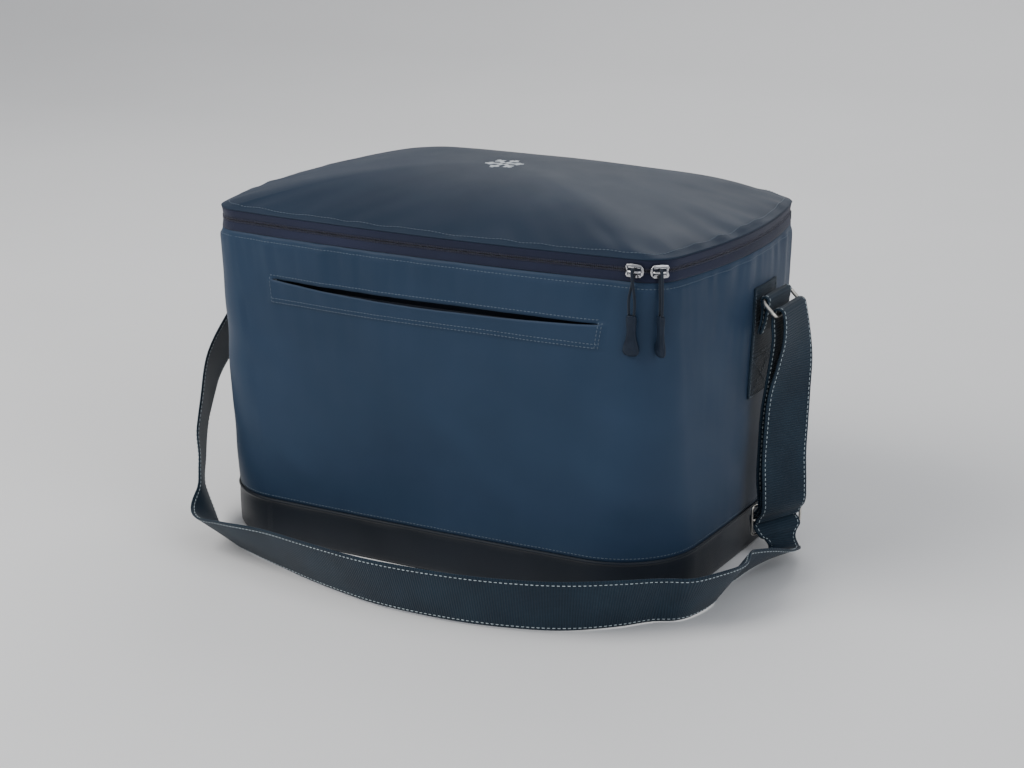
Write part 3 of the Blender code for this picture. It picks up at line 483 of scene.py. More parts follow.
def ribbon(name, stations, per_span=8):
    """Webbing through (x, y, z, wx, wy, wz, pinch) stations, with a stitched row near each edge of both faces."""
    padded = [tuple(s) + (1.0,) * (7 - len(s)) for s in stations]
    path = smooth_path(padded, per_span)
    middles = [Vector(p[:3]) for p in path]
    across_at = [-1.0, -0.985, -0.9, -0.6, -0.3, 0.0, 0.3, 0.6, 0.9, 0.985, 1.0]
    belly = [0.15, 0.8, 1.0, 1.0, 1.0, 1.0, 1.0, 1.0, 1.0, 0.8, 0.15]
    verts, uvs = [], []
    length = 0.0
    rows = {key: [] for key in ((-1, 1), (1, 1), (-1, -1), (1, -1))}
    for i, p in enumerate(path):
        run = (middles[min(i + 1, len(path) - 1)] - middles[max(i - 1, 0)]).normalized()
        across = Vector(p[3:6])
        across = (across - run * across.dot(run)).normalized()
        face = run.cross(across).normalized()
        half = WEB_W / 2 * p[6]
        if i:
            length += (middles[i] - middles[i - 1]).length
        ripple = 0.00025 * math.sin(length * 61.0) * math.sin(length * 17.0)
        for sign, order in ((1, across_at), (-1, across_at[::-1])):
            for k, a in enumerate(order):
                lift = sign * WEB_T / 2 * belly[k] + ripple * a * a
                verts.append(middles[i] + across * half * a + face * lift)
                uvs.append((length, half * a))
        for edge in (-1, 1):
            for sign in (1, -1):
                spot = middles[i] + across * edge * (half - STITCH_INSET) + face * sign * WEB_T / 2
                rows[(edge, sign)].append((spot, face * sign))
    obj = build(name, verts, prism(len(path), 2 * len(across_at), flip=True), WEBBING, uvs)
    sewn = stitches(name + "_stitching", list(rows.values()), THREAD_PALE)
    return obj, sewn, length


# ---- body fabric
SLOT_X0, SLOT_X1, SLOT_Z, SLOT_DIP = -0.1445, 0.1560, 0.2276, 0.0052
WELT_Z0, WELT_X0, WELT_X1, POCKET_Z = 0.2060, -0.1480, 0.1600, 0.22


def slot_share(x):
    return clamp((x - SLOT_X0) / (SLOT_X1 - SLOT_X0))


def slot_gap(x):
    return 0.0003 + SLOT_DIP * math.sin(math.pi * slot_share(x)) ** 0.75


def fold_field(i, z):
    """How far the shell stands off its plan: fullness, pulls at the seams, and soft dents."""
    s = float(ARC[i])
    p = wall(i, z)
    drop = WRAP_TOP_Z - z
    rise = z - BASE_SEAM_Z
    mid_height = math.sin(math.pi * wall_share(z))
    full = 0.0016 * mid_height**0.5
    side_face = smoothstep(0.15, 0.21, abs(p.x))
    front_left = math.exp(-((p.x + 0.085) / 0.06) ** 2) if p.y < 0 else 0.0
    pull = 0.5 + 0.9 * side_face + 0.6 * front_left
    reach = 0.030 + 0.030 * (0.5 + 0.5 * dents(s * 21.0, 3.1, 0.0))
    crease = dents(s * 62.0, drop * 9.0, 0.7) + 0.5 * dents(s * 141.0, drop * 14.0, 4.2)
    free = 1.0 - side_face * math.exp(-((p.y - RING_Y) / 0.042) ** 4)
    near_top = math.exp(-drop / reach) * smoothstep(0.0, 0.006, drop)
    top = (0.00125 + 0.00095 * free) * pull * crease * near_top + 0.0009 * free * near_top
    low = 0.0006 * dents(s * 48.0, 9.0, rise * 8.0) * math.exp(-rise / 0.022)
    soft = (0.0022 + 0.0010 * free) * dents(p.x * 8.0, p.y * 8.0, z * 9.0) * mid_height
    drag = (0.0011 + 0.0005 * free) * dents(s * 19.0 + z * 26.0, z * 11.0, 7.7) * smoothstep(0.0, 0.05, rise)
    seam = 0.0007 * (math.exp(-((drop - 0.0035) / 0.0016) ** 2) + math.exp(-(rise / 0.003) ** 2))
    return max(-0.00015, full + top + low + soft + drag * (1 - 0.6 * math.exp(-drop / 0.01)) - seam)


def welt_lift(x, y, z, lip):
    """Raised welt under the slot."""
    if y > 0 or not WELT_X0 < x < WELT_X1:
        return 0.0
    ends = smoothstep(WELT_X0, WELT_X0 + 0.002, x) * (1 - smoothstep(WELT_X1 - 0.002, WELT_X1, x))
    return 0.0010 * ends * smoothstep(WELT_Z0, WELT_Z0 + 0.0016, z) * (1 - smoothstep(lip - 0.0002, lip + 0.0008, z))


def shell_point(i, z, extra=0.0):
    p = wall(i, z)
    lift = fold_field(i, z) + welt_lift(p.x, p.y, z, SLOT_Z - slot_gap(p.x)) + extra
    return wall(i, z, lift)


def make_shell():
    """The walls, cut open along the slot: plain below the welt, then the welt, then above the slot."""
    lower = [*np.linspace(BASE_SEAM_Z + 0.0002, 0.196, 44), *np.linspace(0.1995, WELT_Z0 - 0.0006, 4)]
    rows = [[shell_point(i, z) for i in range(COUNT)] for z in lower]
    for t in np.linspace(0.0, 1.0, 9):
        lip_lift = 0.0006 * smoothstep(0.75, 1.0, t)
        row = []
        for i in range(COUNT):
            lip = SLOT_Z - slot_gap(wall(i, SLOT_Z).x) if wall(i, SLOT_Z).y < 0 else SLOT_Z - 0.0003
            row.append(shell_point(i, WELT_Z0 + (lip - WELT_Z0) * t, lip_lift * slot_share_bump(i)))
        rows.append(row)
    slot_row = len(rows) - 1
    for t in np.linspace(0.0, 1.0, 14):
        lift, z = 0.0004 * (1 - smoothstep(0.0, 0.12, t)), SLOT_Z + (WRAP_TOP_Z - SLOT_Z) * t
        rows.append([shell_point(i, z, lift * slot_share_bump(i)) for i in range(COUNT)])

    def in_slot(k, i):
        a, b = wall(i, SLOT_Z), wall((i + 1) % COUNT, SLOT_Z)
        return k == slot_row and a.y < 0 and SLOT_X0 < a.x < SLOT_X1 and SLOT_X0 < b.x < SLOT_X1

    shell = thicken(grid("body_fabric", rows, SHELL, arc_uvs(rows), skip=in_slot), 0.0009)
    settle(shell, "bag", "shell", "outer_wrap", "pocket_welt")


def slot_share_bump(i):
    """How much the slot's edges stand out, from 0 at its ends to 1 at its middle."""
    p = wall(i, SLOT_Z)
    return 0.0 if p.y > 0 else math.sin(math.pi * slot_share(p.x)) ** 0.5


def front_indices(x0, x1):
    """Outline indices of the front from x0 to x1, left to right."""
    faces_front = [(i, wall(i, POCKET_Z)) for i in range(COUNT) if abs(TOP_N[i][1]) > 0.3]
    return sorted((i for i, p in faces_front if p.y < 0 and x0 <= p.x <= x1), key=lambda i: wall(i, POCKET_Z).x)


def arc_uvs(rows, indices=range(COUNT)):
    """UVs in metres: distance round the outline and height."""
    return [[(ARC[i], p.z) for i, p in zip(indices, row)] for row in rows]


def normal_at(i):
    return Vector((TOP_N[i][0], TOP_N[i][1], 0.0))


def make_body_stitching():
    round_trip = [i % COUNT for i in range(COUNT + 1)]
    heights = (WRAP_TOP_Z - 0.0045, BASE_SEAM_Z + 0.0042)
    lines = [[(shell_point(i, z), normal_at(i)) for i in round_trip] for z in heights]
    run = front_indices(WELT_X0 + 0.002, WELT_X1 - 0.002)
    for drop in (0.0010, 0.0040):
        lines.append([(shell_point(i, WELT_Z0 + 0.0014 + drop), normal_at(i)) for i in run])
    lines.append([(shell_point(i, SLOT_Z + 0.0030), normal_at(i)) for i in run])
    for x in (WELT_X0 + 0.0022, WELT_X1 - 0.0022, WELT_X1 - 0.0050):
        i = min(run, key=lambda k: abs(wall(k, POCKET_Z).x - x))
        heights = np.linspace(WELT_Z0 + 0.0015, SLOT_Z + 0.0030, 12)
        lines.append([(shell_point(i, z), normal_at(i)) for z in heights])
    thread = stitches("body_topstitch", lines, THREAD_BLUE, pitch=SEAM_PITCH, radius=SEAM_THREAD)
    settle(thread, "bag", "binding")


def make_base_band():
    heights = [0.0006, 0.0012, 0.003, 0.007, 0.012, 0.018, 0.024,
               0.029, 0.0325, 0.0336, 0.0343, 0.0350, 0.0357, 0.0364]
    outs = [-0.0016, -0.0006, 0.0001, 0.0004, 0.0006, 0.0007, 0.0007,
            0.0006, 0.0005, 0.0009, 0.0014, 0.0016, 0.0013, 0.0004]
    rows = []
    for z, out in zip(heights, outs):
        row = []
        for i in range(COUNT):
            s = float(ARC[i])
            dent = 0.0006 * dents(s * 26.0, z * 30.0, 2.2) * smoothstep(0.0, 0.01, z)
            row.append(wall(i, z, out + max(dent, -0.0002) * (1 if z < 0.033 else 0)))
        rows.append(row)
    band = thicken(grid("base_wrap", rows, BAND, arc_uvs(rows)), 0.0008)
    settle(band, "bag", "base_fabric", "base_band")


# ---- lid
def dome_z(u):
    return UPPER_SEAM_Z + LID_RISE * (1 - (1 - u) ** LID_FULLNESS)


def lid_point(i, u):
    """Point of the lid's top fabric at share u from its edge, with the pulls and dimples round the seam."""
    s = float(ARC[i])
    x, y = TOP_P[i] * (1 - u)
    edge = math.exp(-u / 0.16) * smoothstep(0.0, 0.03, u)
    side_face = 0.6 + 0.7 * smoothstep(0.10, 0.21, x)
    pull = 0.0031 * edge * side_face * (dents(s * 44.0, u * 5.0, 1.3) + 0.25)
    soft = 0.0016 * dents(x * 9.0, y * 9.0, 5.0) * smoothstep(0.05, 0.3, u)
    corner_pinch = -0.0012 * math.exp(-(((x + 0.185) / 0.02) ** 2 + ((y - 0.095) / 0.02) ** 2))
    lift = max(-0.0008, pull + soft + corner_pinch)
    return Vector((x, y, dome_z(u) + lift))


def make_lid():
    shares = [0.0, 0.006, 0.014, 0.024, 0.036, 0.05, 0.066, 0.085] + list(np.linspace(0.11, 0.97, 34))
    skirt = [(-0.0004, UPPER_SEAM_Z - 0.0016), (0.0007, UPPER_SEAM_Z - 0.0006)]
    rows, uvs = [], []
    for out, z in skirt:
        rows.append([rim_point(i, out, z) for i in range(COUNT)])
        uvs.append([tuple(TOP_P[i] * 1.01) for i in range(COUNT)])
    for u in shares:
        rows.append([lid_point(i, u) for i in range(COUNT)])
        uvs.append([tuple(TOP_P[i] * (1 - u)) for i in range(COUNT)])
    lid = thicken(domed("lid_fabric", rows, uvs, dome_z(1.0), LID_CLOTH_PAINTED_SHADE), 0.0008)
    settle(lid, "lid", "shell", "lid_panel")
    line = [(lid_point(i % COUNT, 0.026), (normal_at(i % COUNT) * 0.35 + UP).normalized()) for i in range(COUNT + 1)]
    thread = stitches("lid_topstitch", [line], THREAD_BLUE, pitch=SEAM_PITCH, radius=SEAM_THREAD)
    settle(thread, "lid", "binding")


def make_lid_liner():
    """Foil skin under the lid's foam, slightly slack."""
    lowest = 0.2758
    shares = [0.05, 0.065, 0.09] + list(np.linspace(0.12, 0.96, 24))
    rows, uvs = [], []
    for u in shares:
        row = []
        for i in range(0, COUNT, 2):
            x, y = TOP_P[i] * (1 - u)
            slack = 0.0011 * (0.5 + 0.5 * dents(x * 30.0, y * 30.0, 1.0)) * smoothstep(0.05, 0.12, u)
            z = max(dome_z(u) - 0.0112, lowest) - 0.0004 - slack
            row.append(Vector((x, y, z)))
        rows.append(row)
        uvs.append([tuple(TOP_P[i] * (1 - u)) for i in range(0, COUNT, 2)])
    liner = thicken(domed("lid_foil", rows, uvs, dome_z(1.0) - 0.0122, FOIL, flip=True), 0.0004, 1.0)
    settle(liner, "lid", "liner_film", "lid_liner")


def make_tub():
    """Foil tub: creased walls and floor in one skin."""
    half_round = range(0, COUNT, 2)
    rows, uvs = [], []
    for z in np.linspace(0.2578, 0.020, 34):
        row = []
        for i in half_round:
            p = wall(i, z)
            slack = 0.0016 * (0.5 + 0.5 * dents(p.x * 34.0, p.y * 34.0, z * 22.0))
            row.append(wall(i, z, -LINER_IN - slack * smoothstep(0.2575, 0.245, z)))
        rows.append(row)
        uvs.append([(ARC[i], z) for i in half_round])
    for k, u in enumerate([0.005, 0.015, 0.03] + list(np.linspace(0.06, 0.96, 16))):
        row = []
        for i in half_round:
            p = wall(i, 0.02, -LINER_IN - 0.0008)
            x, y = p.x * (1 - u), p.y * (1 - u)
            z = 0.0140 + 0.0035 * math.exp(-k / 1.2) + 0.0006 * (0.5 + 0.5 * dents(x * 40, y * 40, 2.0))
            row.append(Vector((x, y, z)))
        rows.append(row)
        uvs.append([(p.x, p.y) for p in row])
    tub = thicken(domed("foil_tub", rows, uvs, 0.0142, FOIL), 0.0004, 1.0)
    settle(tub, "bag", "liner_film", "liner_tub")


# ---- zip
def zip_strip(name, profile, body, node):
    """Woven tape through (offset, height) pairs, round the zipped sides."""
    rows = [[rim_point(i, out, z) for i in ZIP_INDEX] for out, z in profile]
    strip = thicken(grid(name, rows, TAPE, arc_uvs(rows, ZIP_INDEX), closed=False), 0.0006)
    settle(strip, body, "zip_tape", node)


def coil(name, z_mid, body, node):
    """Nylon coil seen from outside: one rounded bead per tooth."""
    at, total = along_line([rim_point(i, -0.0011, z_mid) for i in ZIP_INDEX], [normal_at(i) for i in ZIP_INDEX])
    verts, faces = [], []
    pitch = 0.00155
    shape = [(-0.5, -1), (0.5, -1), (0.5, 1), (-0.5, 1)]
    layers = [(-0.0006, 1.0), (0.0003, 1.0), (0.0008, 0.55)]
    for d in range(int(total / pitch)):
        m, out = at((d + 0.5) * pitch)
        run = out.cross(UP)
        faces += prism(len(layers), len(shape), len(verts))
        for depth, scale in layers:
            for a, b in shape:
                verts.append(m + out * depth + run * a * 0.00105 * scale + UP * b * 0.00072 * scale)
    beads = build(name, verts, faces, COIL)
    settle(beads, body, "zip_coil", node)


def make_zip():
    hinge_low, hinge_high = 0.2622, 0.2799
    low = [(-0.0004, hinge_low), (0.0001, 0.2632), (-0.0002, 0.2650),
           (-0.0005, 0.2680), (-0.0009, 0.2695), (-0.0012, 0.2702)]
    high = [(-0.0012, 0.2728), (-0.0009, 0.2736), (-0.0005, 0.2752),
            (-0.0002, 0.2776), (0.0001, 0.2790), (-0.0002, 0.2797)]
    zip_strip("zip_tape_lower_cloth", low, "bag", "zip_tape_lower")
    zip_strip("zip_tape_upper_cloth", high, "lid", "zip_tape_upper")
    coil("zip_coil_lower_teeth", 0.2705, "bag", "zip_coil_lower")
    coil("zip_coil_upper_teeth", 0.2725, "lid", "zip_coil_upper")
    back, rows = BACK_INDEX[::2], []
    for z in np.linspace(hinge_low, hinge_high, 15):
        out = 0.0004 * math.sin(math.pi * (z - hinge_low) / (hinge_high - hinge_low))
        rows.append([rim_point(i, out, z) for i in back])
    hinge = thicken(grid("hinge_cloth", rows, BINDING, arc_uvs(rows, back), closed=False), 0.0010)
    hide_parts("hinge_tape_lower", "hinge_tape_upper")
    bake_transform(hinge)


# ---- sliders and pullers
def slider_frame(centre, radius, theta):
    """Where a slider sits on an arc of the zip: its origin, the way along the zip and the way outwards."""
    outward = Vector((math.sin(theta), -math.cos(theta), 0.0))
    along = Vector((math.cos(theta), math.sin(theta), 0.0))
    return Vector((*centre, ZIP_Z)) + outward * radius, along, outward


def plate(name, frame3, loop, out_span, mat, bevel):
    """A flat piece with a loop for its outline, standing off the zip from one out_span value to the other."""
    origin, along, outward = frame3
    verts = [origin + along * a + outward * o + UP * z for o in out_span for a, z in loop]
    obj = build(name, verts, prism(2, len(loop)), mat)
    obj.data.validate()
    mod = obj.modifiers.new("edges", "BEVEL")
    mod.width = bevel
    mod.segments = 3
    mod.limit_method = "ANGLE"
    return obj


def box(a0, a1, z0, z1):
    return [(a0, z0), (a1, z0), (a1, z1), (a0, z1)]


def make_slider(side, frame3, nose):
    half_l, half_h = 0.0075, 0.0054
    half = [(-half_l, 0.62), (-half_l + 0.0012, 0.92), (-0.001, 1.0), (0.0045, 0.94), (half_l - 0.0006, 0.55)]
    body = [(a, -half_h * share) for a, share in half] + [(half_l, 0.0)]
    body += [(a, half_h * share) for a, share in reversed(half)] + [(-half_l + 0.0010, 0.0)]
    if nose < 0:
        body = [(-a, z) for a, z in reversed(body)]
    outer = plate("zip_slider_body_" + side, frame3, body, (0.0006, 0.0019), CHROME, 0.0004)
    origin, along, outward = frame3
    inner = box(-0.005, 0.005, -0.0050, 0.0050)
    parts = [plate("slider_inner_" + side, frame3, inner, (-0.0043, -0.0031), CHROME, 0.0003)]
    bail = []
    for a in np.linspace(math.pi, 0, 15):
        reach = math.sin(a) ** 0.5 * 0.0039 if math.sin(a) > 0 else 0.0
        bail.append(origin + along * 0.0056 * math.cos(a) + outward * (0.0018 + reach))
    parts.append(tube("slider_bail_" + side, bail, 0.00075, CHROME, sides=12, flat_dir=UP.copy(), squash=1.25))
    inlay = box(-0.0058, 0.0052, -0.0034, 0.0034)
    parts.append(plate("slider_inlay_" + side, frame3, inlay, (0.0016, 0.00205), BINDING, 0.0002))
    ridge = box(-0.0048, 0.0048, -0.0031, -0.0023)
    for flip in (1, -1):
        loop = [(a, z * flip) for a, z in (ridge if flip > 0 else ridge[::-1])]
        parts.append(plate(f"slider_rib_{side}_{flip + 1}", frame3, loop, (0.0018, 0.0024), CHROME, 0.0002))
    settle(outer, "slider_" + side, "slider_metal", "zip_slider_" + side)
    for piece in parts:
        settle(piece, "slider_" + side, "slider_metal")


def make_puller(side, frame3, twist):
    origin, along, outward = frame3
    turned = along * math.cos(twist) + outward * math.sin(twist)
    flat = outward * math.cos(twist) - along * math.sin(twist)
    bar = origin + outward * 0.0057
    hang = bar - UP * 0.0330 + outward * 0.0012
    turn_r, leg = 0.0023, 0.0020
    arch = [bar + outward * turn_r * math.cos(a) + UP * turn_r * math.sin(a) for a in np.linspace(0, math.pi, 13)]
    spread = turned if side == "left" else (outward * 0.75 + turned * 0.5).normalized()
    first, last = hang + spread * leg, hang - spread * leg
    lead_in = [first, first + UP * 0.010 + spread * 0.0004, bar + outward * turn_r - UP * 0.010 + spread * 0.0012]
    lead_out = [bar - outward * (turn_r - 0.0002) - UP * 0.0085 - spread * 0.0010,
                last + UP * 0.012 - spread * 0.0003, last]
    middles = [Vector(p) for p in smooth_path(lead_in + arch + lead_out, 5)]
    cord = tube("puller_loop_" + side, middles, 0.00105, CORD, sides=12)
    knots = [(0.0, 0.0034, 0.0020), (0.0018, 0.0041, 0.0023), (0.007, 0.0040, 0.0021), (0.013, 0.0037, 0.0019),
             (0.019, 0.0047, 0.0020), (0.0245, 0.0063, 0.0022), (0.0285, 0.0066, 0.0021), (0.0308, 0.0052, 0.0018),
             (0.0318, 0.0026, 0.0010)]
    profile = smooth_path(knots, 5)
    sides = 28
    verts, uvs = [], []
    for drop, half, depth in profile:
        ridge = 1.0 + (0.16 * max(0.0, math.sin(2 * math.pi * drop / 0.0022)) if 0.0175 < drop < 0.0285 else 0.0)
        for j in range(sides):
            a = 2 * math.pi * j / sides
            ca, sa = math.cos(a), math.sin(a)
            u = math.copysign(abs(ca) ** 0.75, ca)
            v = math.copysign(abs(sa) ** 0.75, sa)
            inner = 1.0 if abs(u) > 0.75 else ridge
            verts.append(hang - UP * (0.0003 + drop) + turned * half * u + flat * depth * v * inner)
            uvs.append((drop, a * 0.002))
    grip = build("puller_tab_" + side, verts, prism(len(profile), sides), GRIP, uvs)
    settle(cord, "puller_" + side, "puller_cord", "puller_cord_" + side)
    settle(grip, "puller_" + side, "grip_rubber", "puller_grip_" + side)


# ---- strap, tabs, rings and adjuster
# Route of the webbing: (x, y, z), the way its width lies, and a narrowing where it bunches up.
LEFT_RUN = [
    (-0.2515, 0.0290, 0.1960, 0.0, -1.0, 0.0),
    (-0.2600, 0.0130, 0.1760, 0.14, -0.98, 0.10),
    (-0.2640, -0.0120, 0.1580, 0.20, -0.96, 0.16),
    (-0.2610, -0.0450, 0.1410, 0.26, -0.93, 0.24),
    (-0.2540, -0.0780, 0.1230, 0.34, -0.88, 0.32),
    (-0.2430, -0.1060, 0.0980, 0.42, -0.85, 0.31),
    (-0.2340, -0.1270, 0.0680, 0.45, -0.85, 0.28),
    (-0.2200, -0.1460, 0.0460, 0.54, -0.78, 0.30),
    (-0.2050, -0.1600, 0.0290, 0.26, -0.74, 0.60),
]
TAIL_GAP = 0.0031       # between the middles of the run and of its sewn-back tail
TAIL_TOP = (-0.2437, 0.0297, 0.2032, 0.0, -1.0, 0.0)
# Where the lower edge stands on the floor: x, y and how far the webbing leans outwards, in degrees.
FLOOR_RUN = [
    (-0.1700, -0.1700, 50), (-0.1400, -0.1850, 43), (-0.0920, -0.2030, 32), (-0.0400, -0.2190, 27),
    (0.0160, -0.2300, 24), (0.0700, -0.2300, 22), (0.1200, -0.2220, 21), (0.1640, -0.2050, 21),
    (0.1960, -0.1780, 24), (0.2138, -0.1562, 28), (0.2292, -0.1454, 30), (0.2372, -0.1262, 32),
    (0.2394, -0.1020, 36),
]
RIGHT_TURN = [
    (0.2474, -0.0732, 0.0212, 0.60, -0.08, 0.78),
    (0.2526, -0.0454, 0.0186, 0.70, 0.10, 0.62, 0.95),
    (0.2558, -0.0180, 0.0153, 0.82, 0.30, 0.40, 0.80),
    (0.2548, 0.0068, 0.0120, 0.74, 0.62, 0.18, 0.62),
    (0.2500, 0.0225, 0.0095, 0.50, 0.86, 0.02, 0.55),
]
ADJUSTER = Vector((0.2390, 0.0300, 0.0340))
ADJUSTER_W = Vector((0.419, 0.908, 0.0)).normalized()
ADJUSTER_N = Vector((0.908, -0.419, 0.0)).normalized()
# The long layer through the adjuster: height above its middle bar and distance in front of it, in mm.
THREADED = [
    (-18.0, 5.2, 0.70), (-12.4, 4.2, 0.95), (-8.2, 1.2), (-6.0, -1.6), (-3.4, -4.4), (0.0, -5.4), (3.4, -4.4),
    (6.0, -1.6), (8.2, 1.2), (12.2, 4.0), (17.0, 3.9), (24.0, 2.6), (34.0, 1.2),
]
UP_INNER = [
    (0.2400, 0.0305, 0.0950, 0.419, 0.908, 0.0),
    (0.2405, 0.0310, 0.1300, 0.38, 0.925, 0.0),
    (0.2415, 0.0305, 0.1600, 0.24, 0.97, 0.0),
    (0.2412, 0.0300, 0.1900, 0.06, 1.0, 0.0),
]
DOWN_OUTER = [
    (0.2508, 0.0300, 0.1930, 0.06, 1.0, 0.0),
    (0.2500, 0.0298, 0.1680, 0.24, 0.97, 0.0),
    (0.2470, 0.0290, 0.1420, 0.38, 0.925, 0.0),
    (0.2456, 0.0282, 0.1100, 0.419, 0.908, 0.0),
    (0.2450, 0.0275, 0.0850, 0.419, 0.908, 0.0),
]
# The sewn end round the adjuster's middle bar, in the same terms as THREADED.
SEWN_END = [(28.0, 8.2), (20.0, 8.6), (12.0, 8.7), (6.8, 7.0), (3.0, 4.0), (0.4, 2.5)]
SEWN_TAIL = [(-1.8, 1.8), (-2.6, 0.0), (-1.8, -1.8), (0.0, -2.6), (1.9, -1.8), (4.2, 1.2), (7.6, 4.6), (12.0, 6.3),
             (20.0, 6.2), (27.0, 5.8)]


def at_adjuster(pairs):
    """Stations beside the adjuster's middle bar, from (mm above, mm in front, narrowing) lists."""
    out = []
    for pair in pairs:
        p = ADJUSTER + UP * (pair[0] / 1000) + ADJUSTER_N * (pair[1] / 1000)
        out.append((*p, *ADJUSTER_W, *pair[2:]))
    return out


def doubled_back(run, offset):
    """The sewn tail: the start of a run again, in reverse, on its bag side."""
    path = smooth_path(run, 4)
    out = []
    for i in (12, 10, 8, 6):
        along = (Vector(path[i + 1][:3]) - Vector(path[i - 1][:3])).normalized()
        across = Vector(path[i][3:6])
        inward = along.cross(across).normalized()
        if inward.x < 0:
            inward = -inward
        out.append((*(Vector(path[i][:3]) + inward * offset), *across))
    return out + [TAIL_TOP]


def floor_stations():
    """The webbing stands on its lower edge and leans away from the bag."""
    out = []
    for i, (x, y, lean) in enumerate(FLOOR_RUN):
        before = FLOOR_RUN[max(i - 1, 0)]
        after = FLOOR_RUN[min(i + 1, len(FLOOR_RUN) - 1)]
        run = Vector((after[0] - before[0], after[1] - before[1], 0)).normalized()
        outward = Vector((run.y, -run.x, 0))
        tilt = math.radians(lean)
        edge = outward * math.sin(tilt) + UP * math.cos(tilt)
        out.append((*(Vector((x, y, GROUND)) + edge * (WEB_W / 2)), *edge))
    return out


def turn(centre, radius, start_deg, end_deg, steps, side, width_dir):
    """Stations round a ring's bar, seen from the front; side is -1 for the left ring."""
    out = []
    for k in range(steps + 1):
        a = math.radians(start_deg + (end_deg - start_deg) * k / steps)
        out.append((side * (centre[0] + radius * math.cos(a)), RING_Y, centre[1] + radius * math.sin(a), *width_dir))
    return out


def make_strap():
    loop_centre = (RING_OUT[0] + 0.0007, RING_OUT[1] + 0.0008)
    left_loop = turn(loop_centre, LOOP_R, 180, 0, 6, -1, (0, -1, 0))
    stations = doubled_back(left_loop[-1:] + LEFT_RUN, TAIL_GAP) + left_loop
    stations += LEFT_RUN + floor_stations() + RIGHT_TURN + at_adjuster(THREADED) + UP_INNER
    stations += turn(loop_centre, LOOP_R, 180, 0, 6, 1, (0, 1, 0)) + DOWN_OUTER + at_adjuster(SEWN_END + SEWN_TAIL)
    strap, sewn, length = ribbon("strap_cloth", stations)
    settle(strap, "strap", "webbing", "strap_webbing")
    settle(sewn, "strap", "webbing")


def make_tab(side, sign):
    """Webbing tab round the ring's inner bar, its lower end sewn to the patch on the bag."""
    low = RING_IN[1] - 0.024
    w = (0, 1, 0)
    out_x, in_x = RING_IN[0] + 0.0001, RING_IN[0] - 0.0023
    stations = [(sign * (out_x - 0.0032), RING_Y, low - 0.004, *w), (sign * out_x, RING_Y, low + 0.006, *w)]
    stations += turn(RING_IN, TAB_LOOP_R, -25, 205, 10, sign, w)
    stations += [(sign * (in_x - 0.0006), RING_Y, low + 0.006, *w), (sign * (in_x - 0.0027), RING_Y, low - 0.004, *w)]
    tab, sewn, length = ribbon("ring_tab_" + side, stations, per_span=4)
    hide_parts("tab_loop_" + side)
    for piece in (tab, sewn):
        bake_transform(piece)
    columns = np.linspace(-1, 1, 25)
    indices = [i for i in range(COUNT) if abs(TOP_P[i][0]) > 0.2 and TOP_P[i][0] * sign > 0]

    def patch_point(y, z, lift):
        i = min(indices, key=lambda k: abs(wall(k, z).y - y))
        p = shell_point(i, z, lift)
        return Vector((p.x, y, z))

    rows, uvs = [], []
    for z in np.linspace(0.136, 0.2325, 30):
        rows.append([patch_point(RING_Y + c * WEB_W / 2, z, 0.0013) for c in columns])
        uvs.append([(z, c * WEB_W / 2) for c in columns])
    patch = grid("side_patch_" + side, rows, WEBBING, uvs, closed=False)
    mod = patch.modifiers.new("soften", "SMOOTH")
    mod.iterations = 6
    thicken(patch, 0.0014, -1.0 if sign > 0 else 1.0)
    settle(patch, "bag", "webbing", "anchor_patch_" + side)

    def sewn_at(across, z):
        return patch_point(RING_Y + across, z, 0.0015), Vector((sign, 0, 0))

    edge = 0.88 * WEB_W / 2
    lines = [[sewn_at(c, z) for z in np.linspace(0.138, 0.230, 30)] for c in (-edge, edge)]
    for z in (0.1385, 0.1700, 0.1740, 0.2020):
        lines.append([sewn_at(c, z) for c in np.linspace(-edge, edge, 20)])
    for flip in (1, -1):
        lines.append([sewn_at(flip * (2 * t - 1) * 0.021, 0.1385 + t * 0.0315) for t in np.linspace(0, 1, 20)])
    thread = stitches("side_patch_stitching_" + side, lines, THREAD_BLUE, pitch=SEAM_PITCH, radius=0.00026)
    settle(thread, "bag", "webbing")


def make_ring(side, sign):
    inner = Vector((sign * RING_IN[0], RING_Y, RING_IN[1]))
    outer = Vector((sign * RING_OUT[0], RING_Y, RING_OUT[1]))
    unit = (outer - inner).normalized()
    bend = 0.0035
    points = []
    for base, y_sign, inward in ((inner, -1, 1), (outer, -1, -1), (outer, 1, -1), (inner, 1, 1)):
        corner = base + Vector((0, y_sign * RING_HALF, 0))
        centre = corner + unit * bend * inward - Vector((0, y_sign * bend, 0))
        start, to_side = -unit * inward, Vector((0, y_sign, 0))
        angles = np.linspace(0, math.pi / 2, 9)
        arc_points = [centre + start * bend * math.cos(a) + to_side * bend * math.sin(a) for a in angles]
        if (inward > 0) == (y_sign > 0):
            arc_points.reverse()
        points += arc_points
    ring = tube("ring_wire_" + side, points, RING_WIRE, NICKEL, sides=20, closed=True)
    settle(ring, "ring_" + side, "ring_metal", "ring_" + side)


def make_adjuster():
    wire, bend = 0.0011, 0.0028
    half_w, half_h = 0.0285 - wire, 0.0134 - wire
    points = []
    for sw, sh, a0 in ((1, 1, 0), (-1, 1, 90), (-1, -1, 180), (1, -1, 270)):
        for a in np.linspace(math.radians(a0), math.radians(a0 + 90), 9):
            w = sw * (half_w - bend) + bend * math.cos(a)
            h = sh * (half_h - bend) + bend * math.sin(a)
            points.append(ADJUSTER + ADJUSTER_W * w + UP * h)
    rim = tube("adjuster_frame", points, wire, NICKEL, closed=True)
    bar = tube("adjuster_bar", [ADJUSTER + ADJUSTER_W * w for w in np.linspace(-half_w, half_w, 9)], 0.0010, NICKEL)
    settle(rim, "adjuster", "ring_metal", "strap_adjuster")
    settle(bar, "adjuster", "ring_metal")


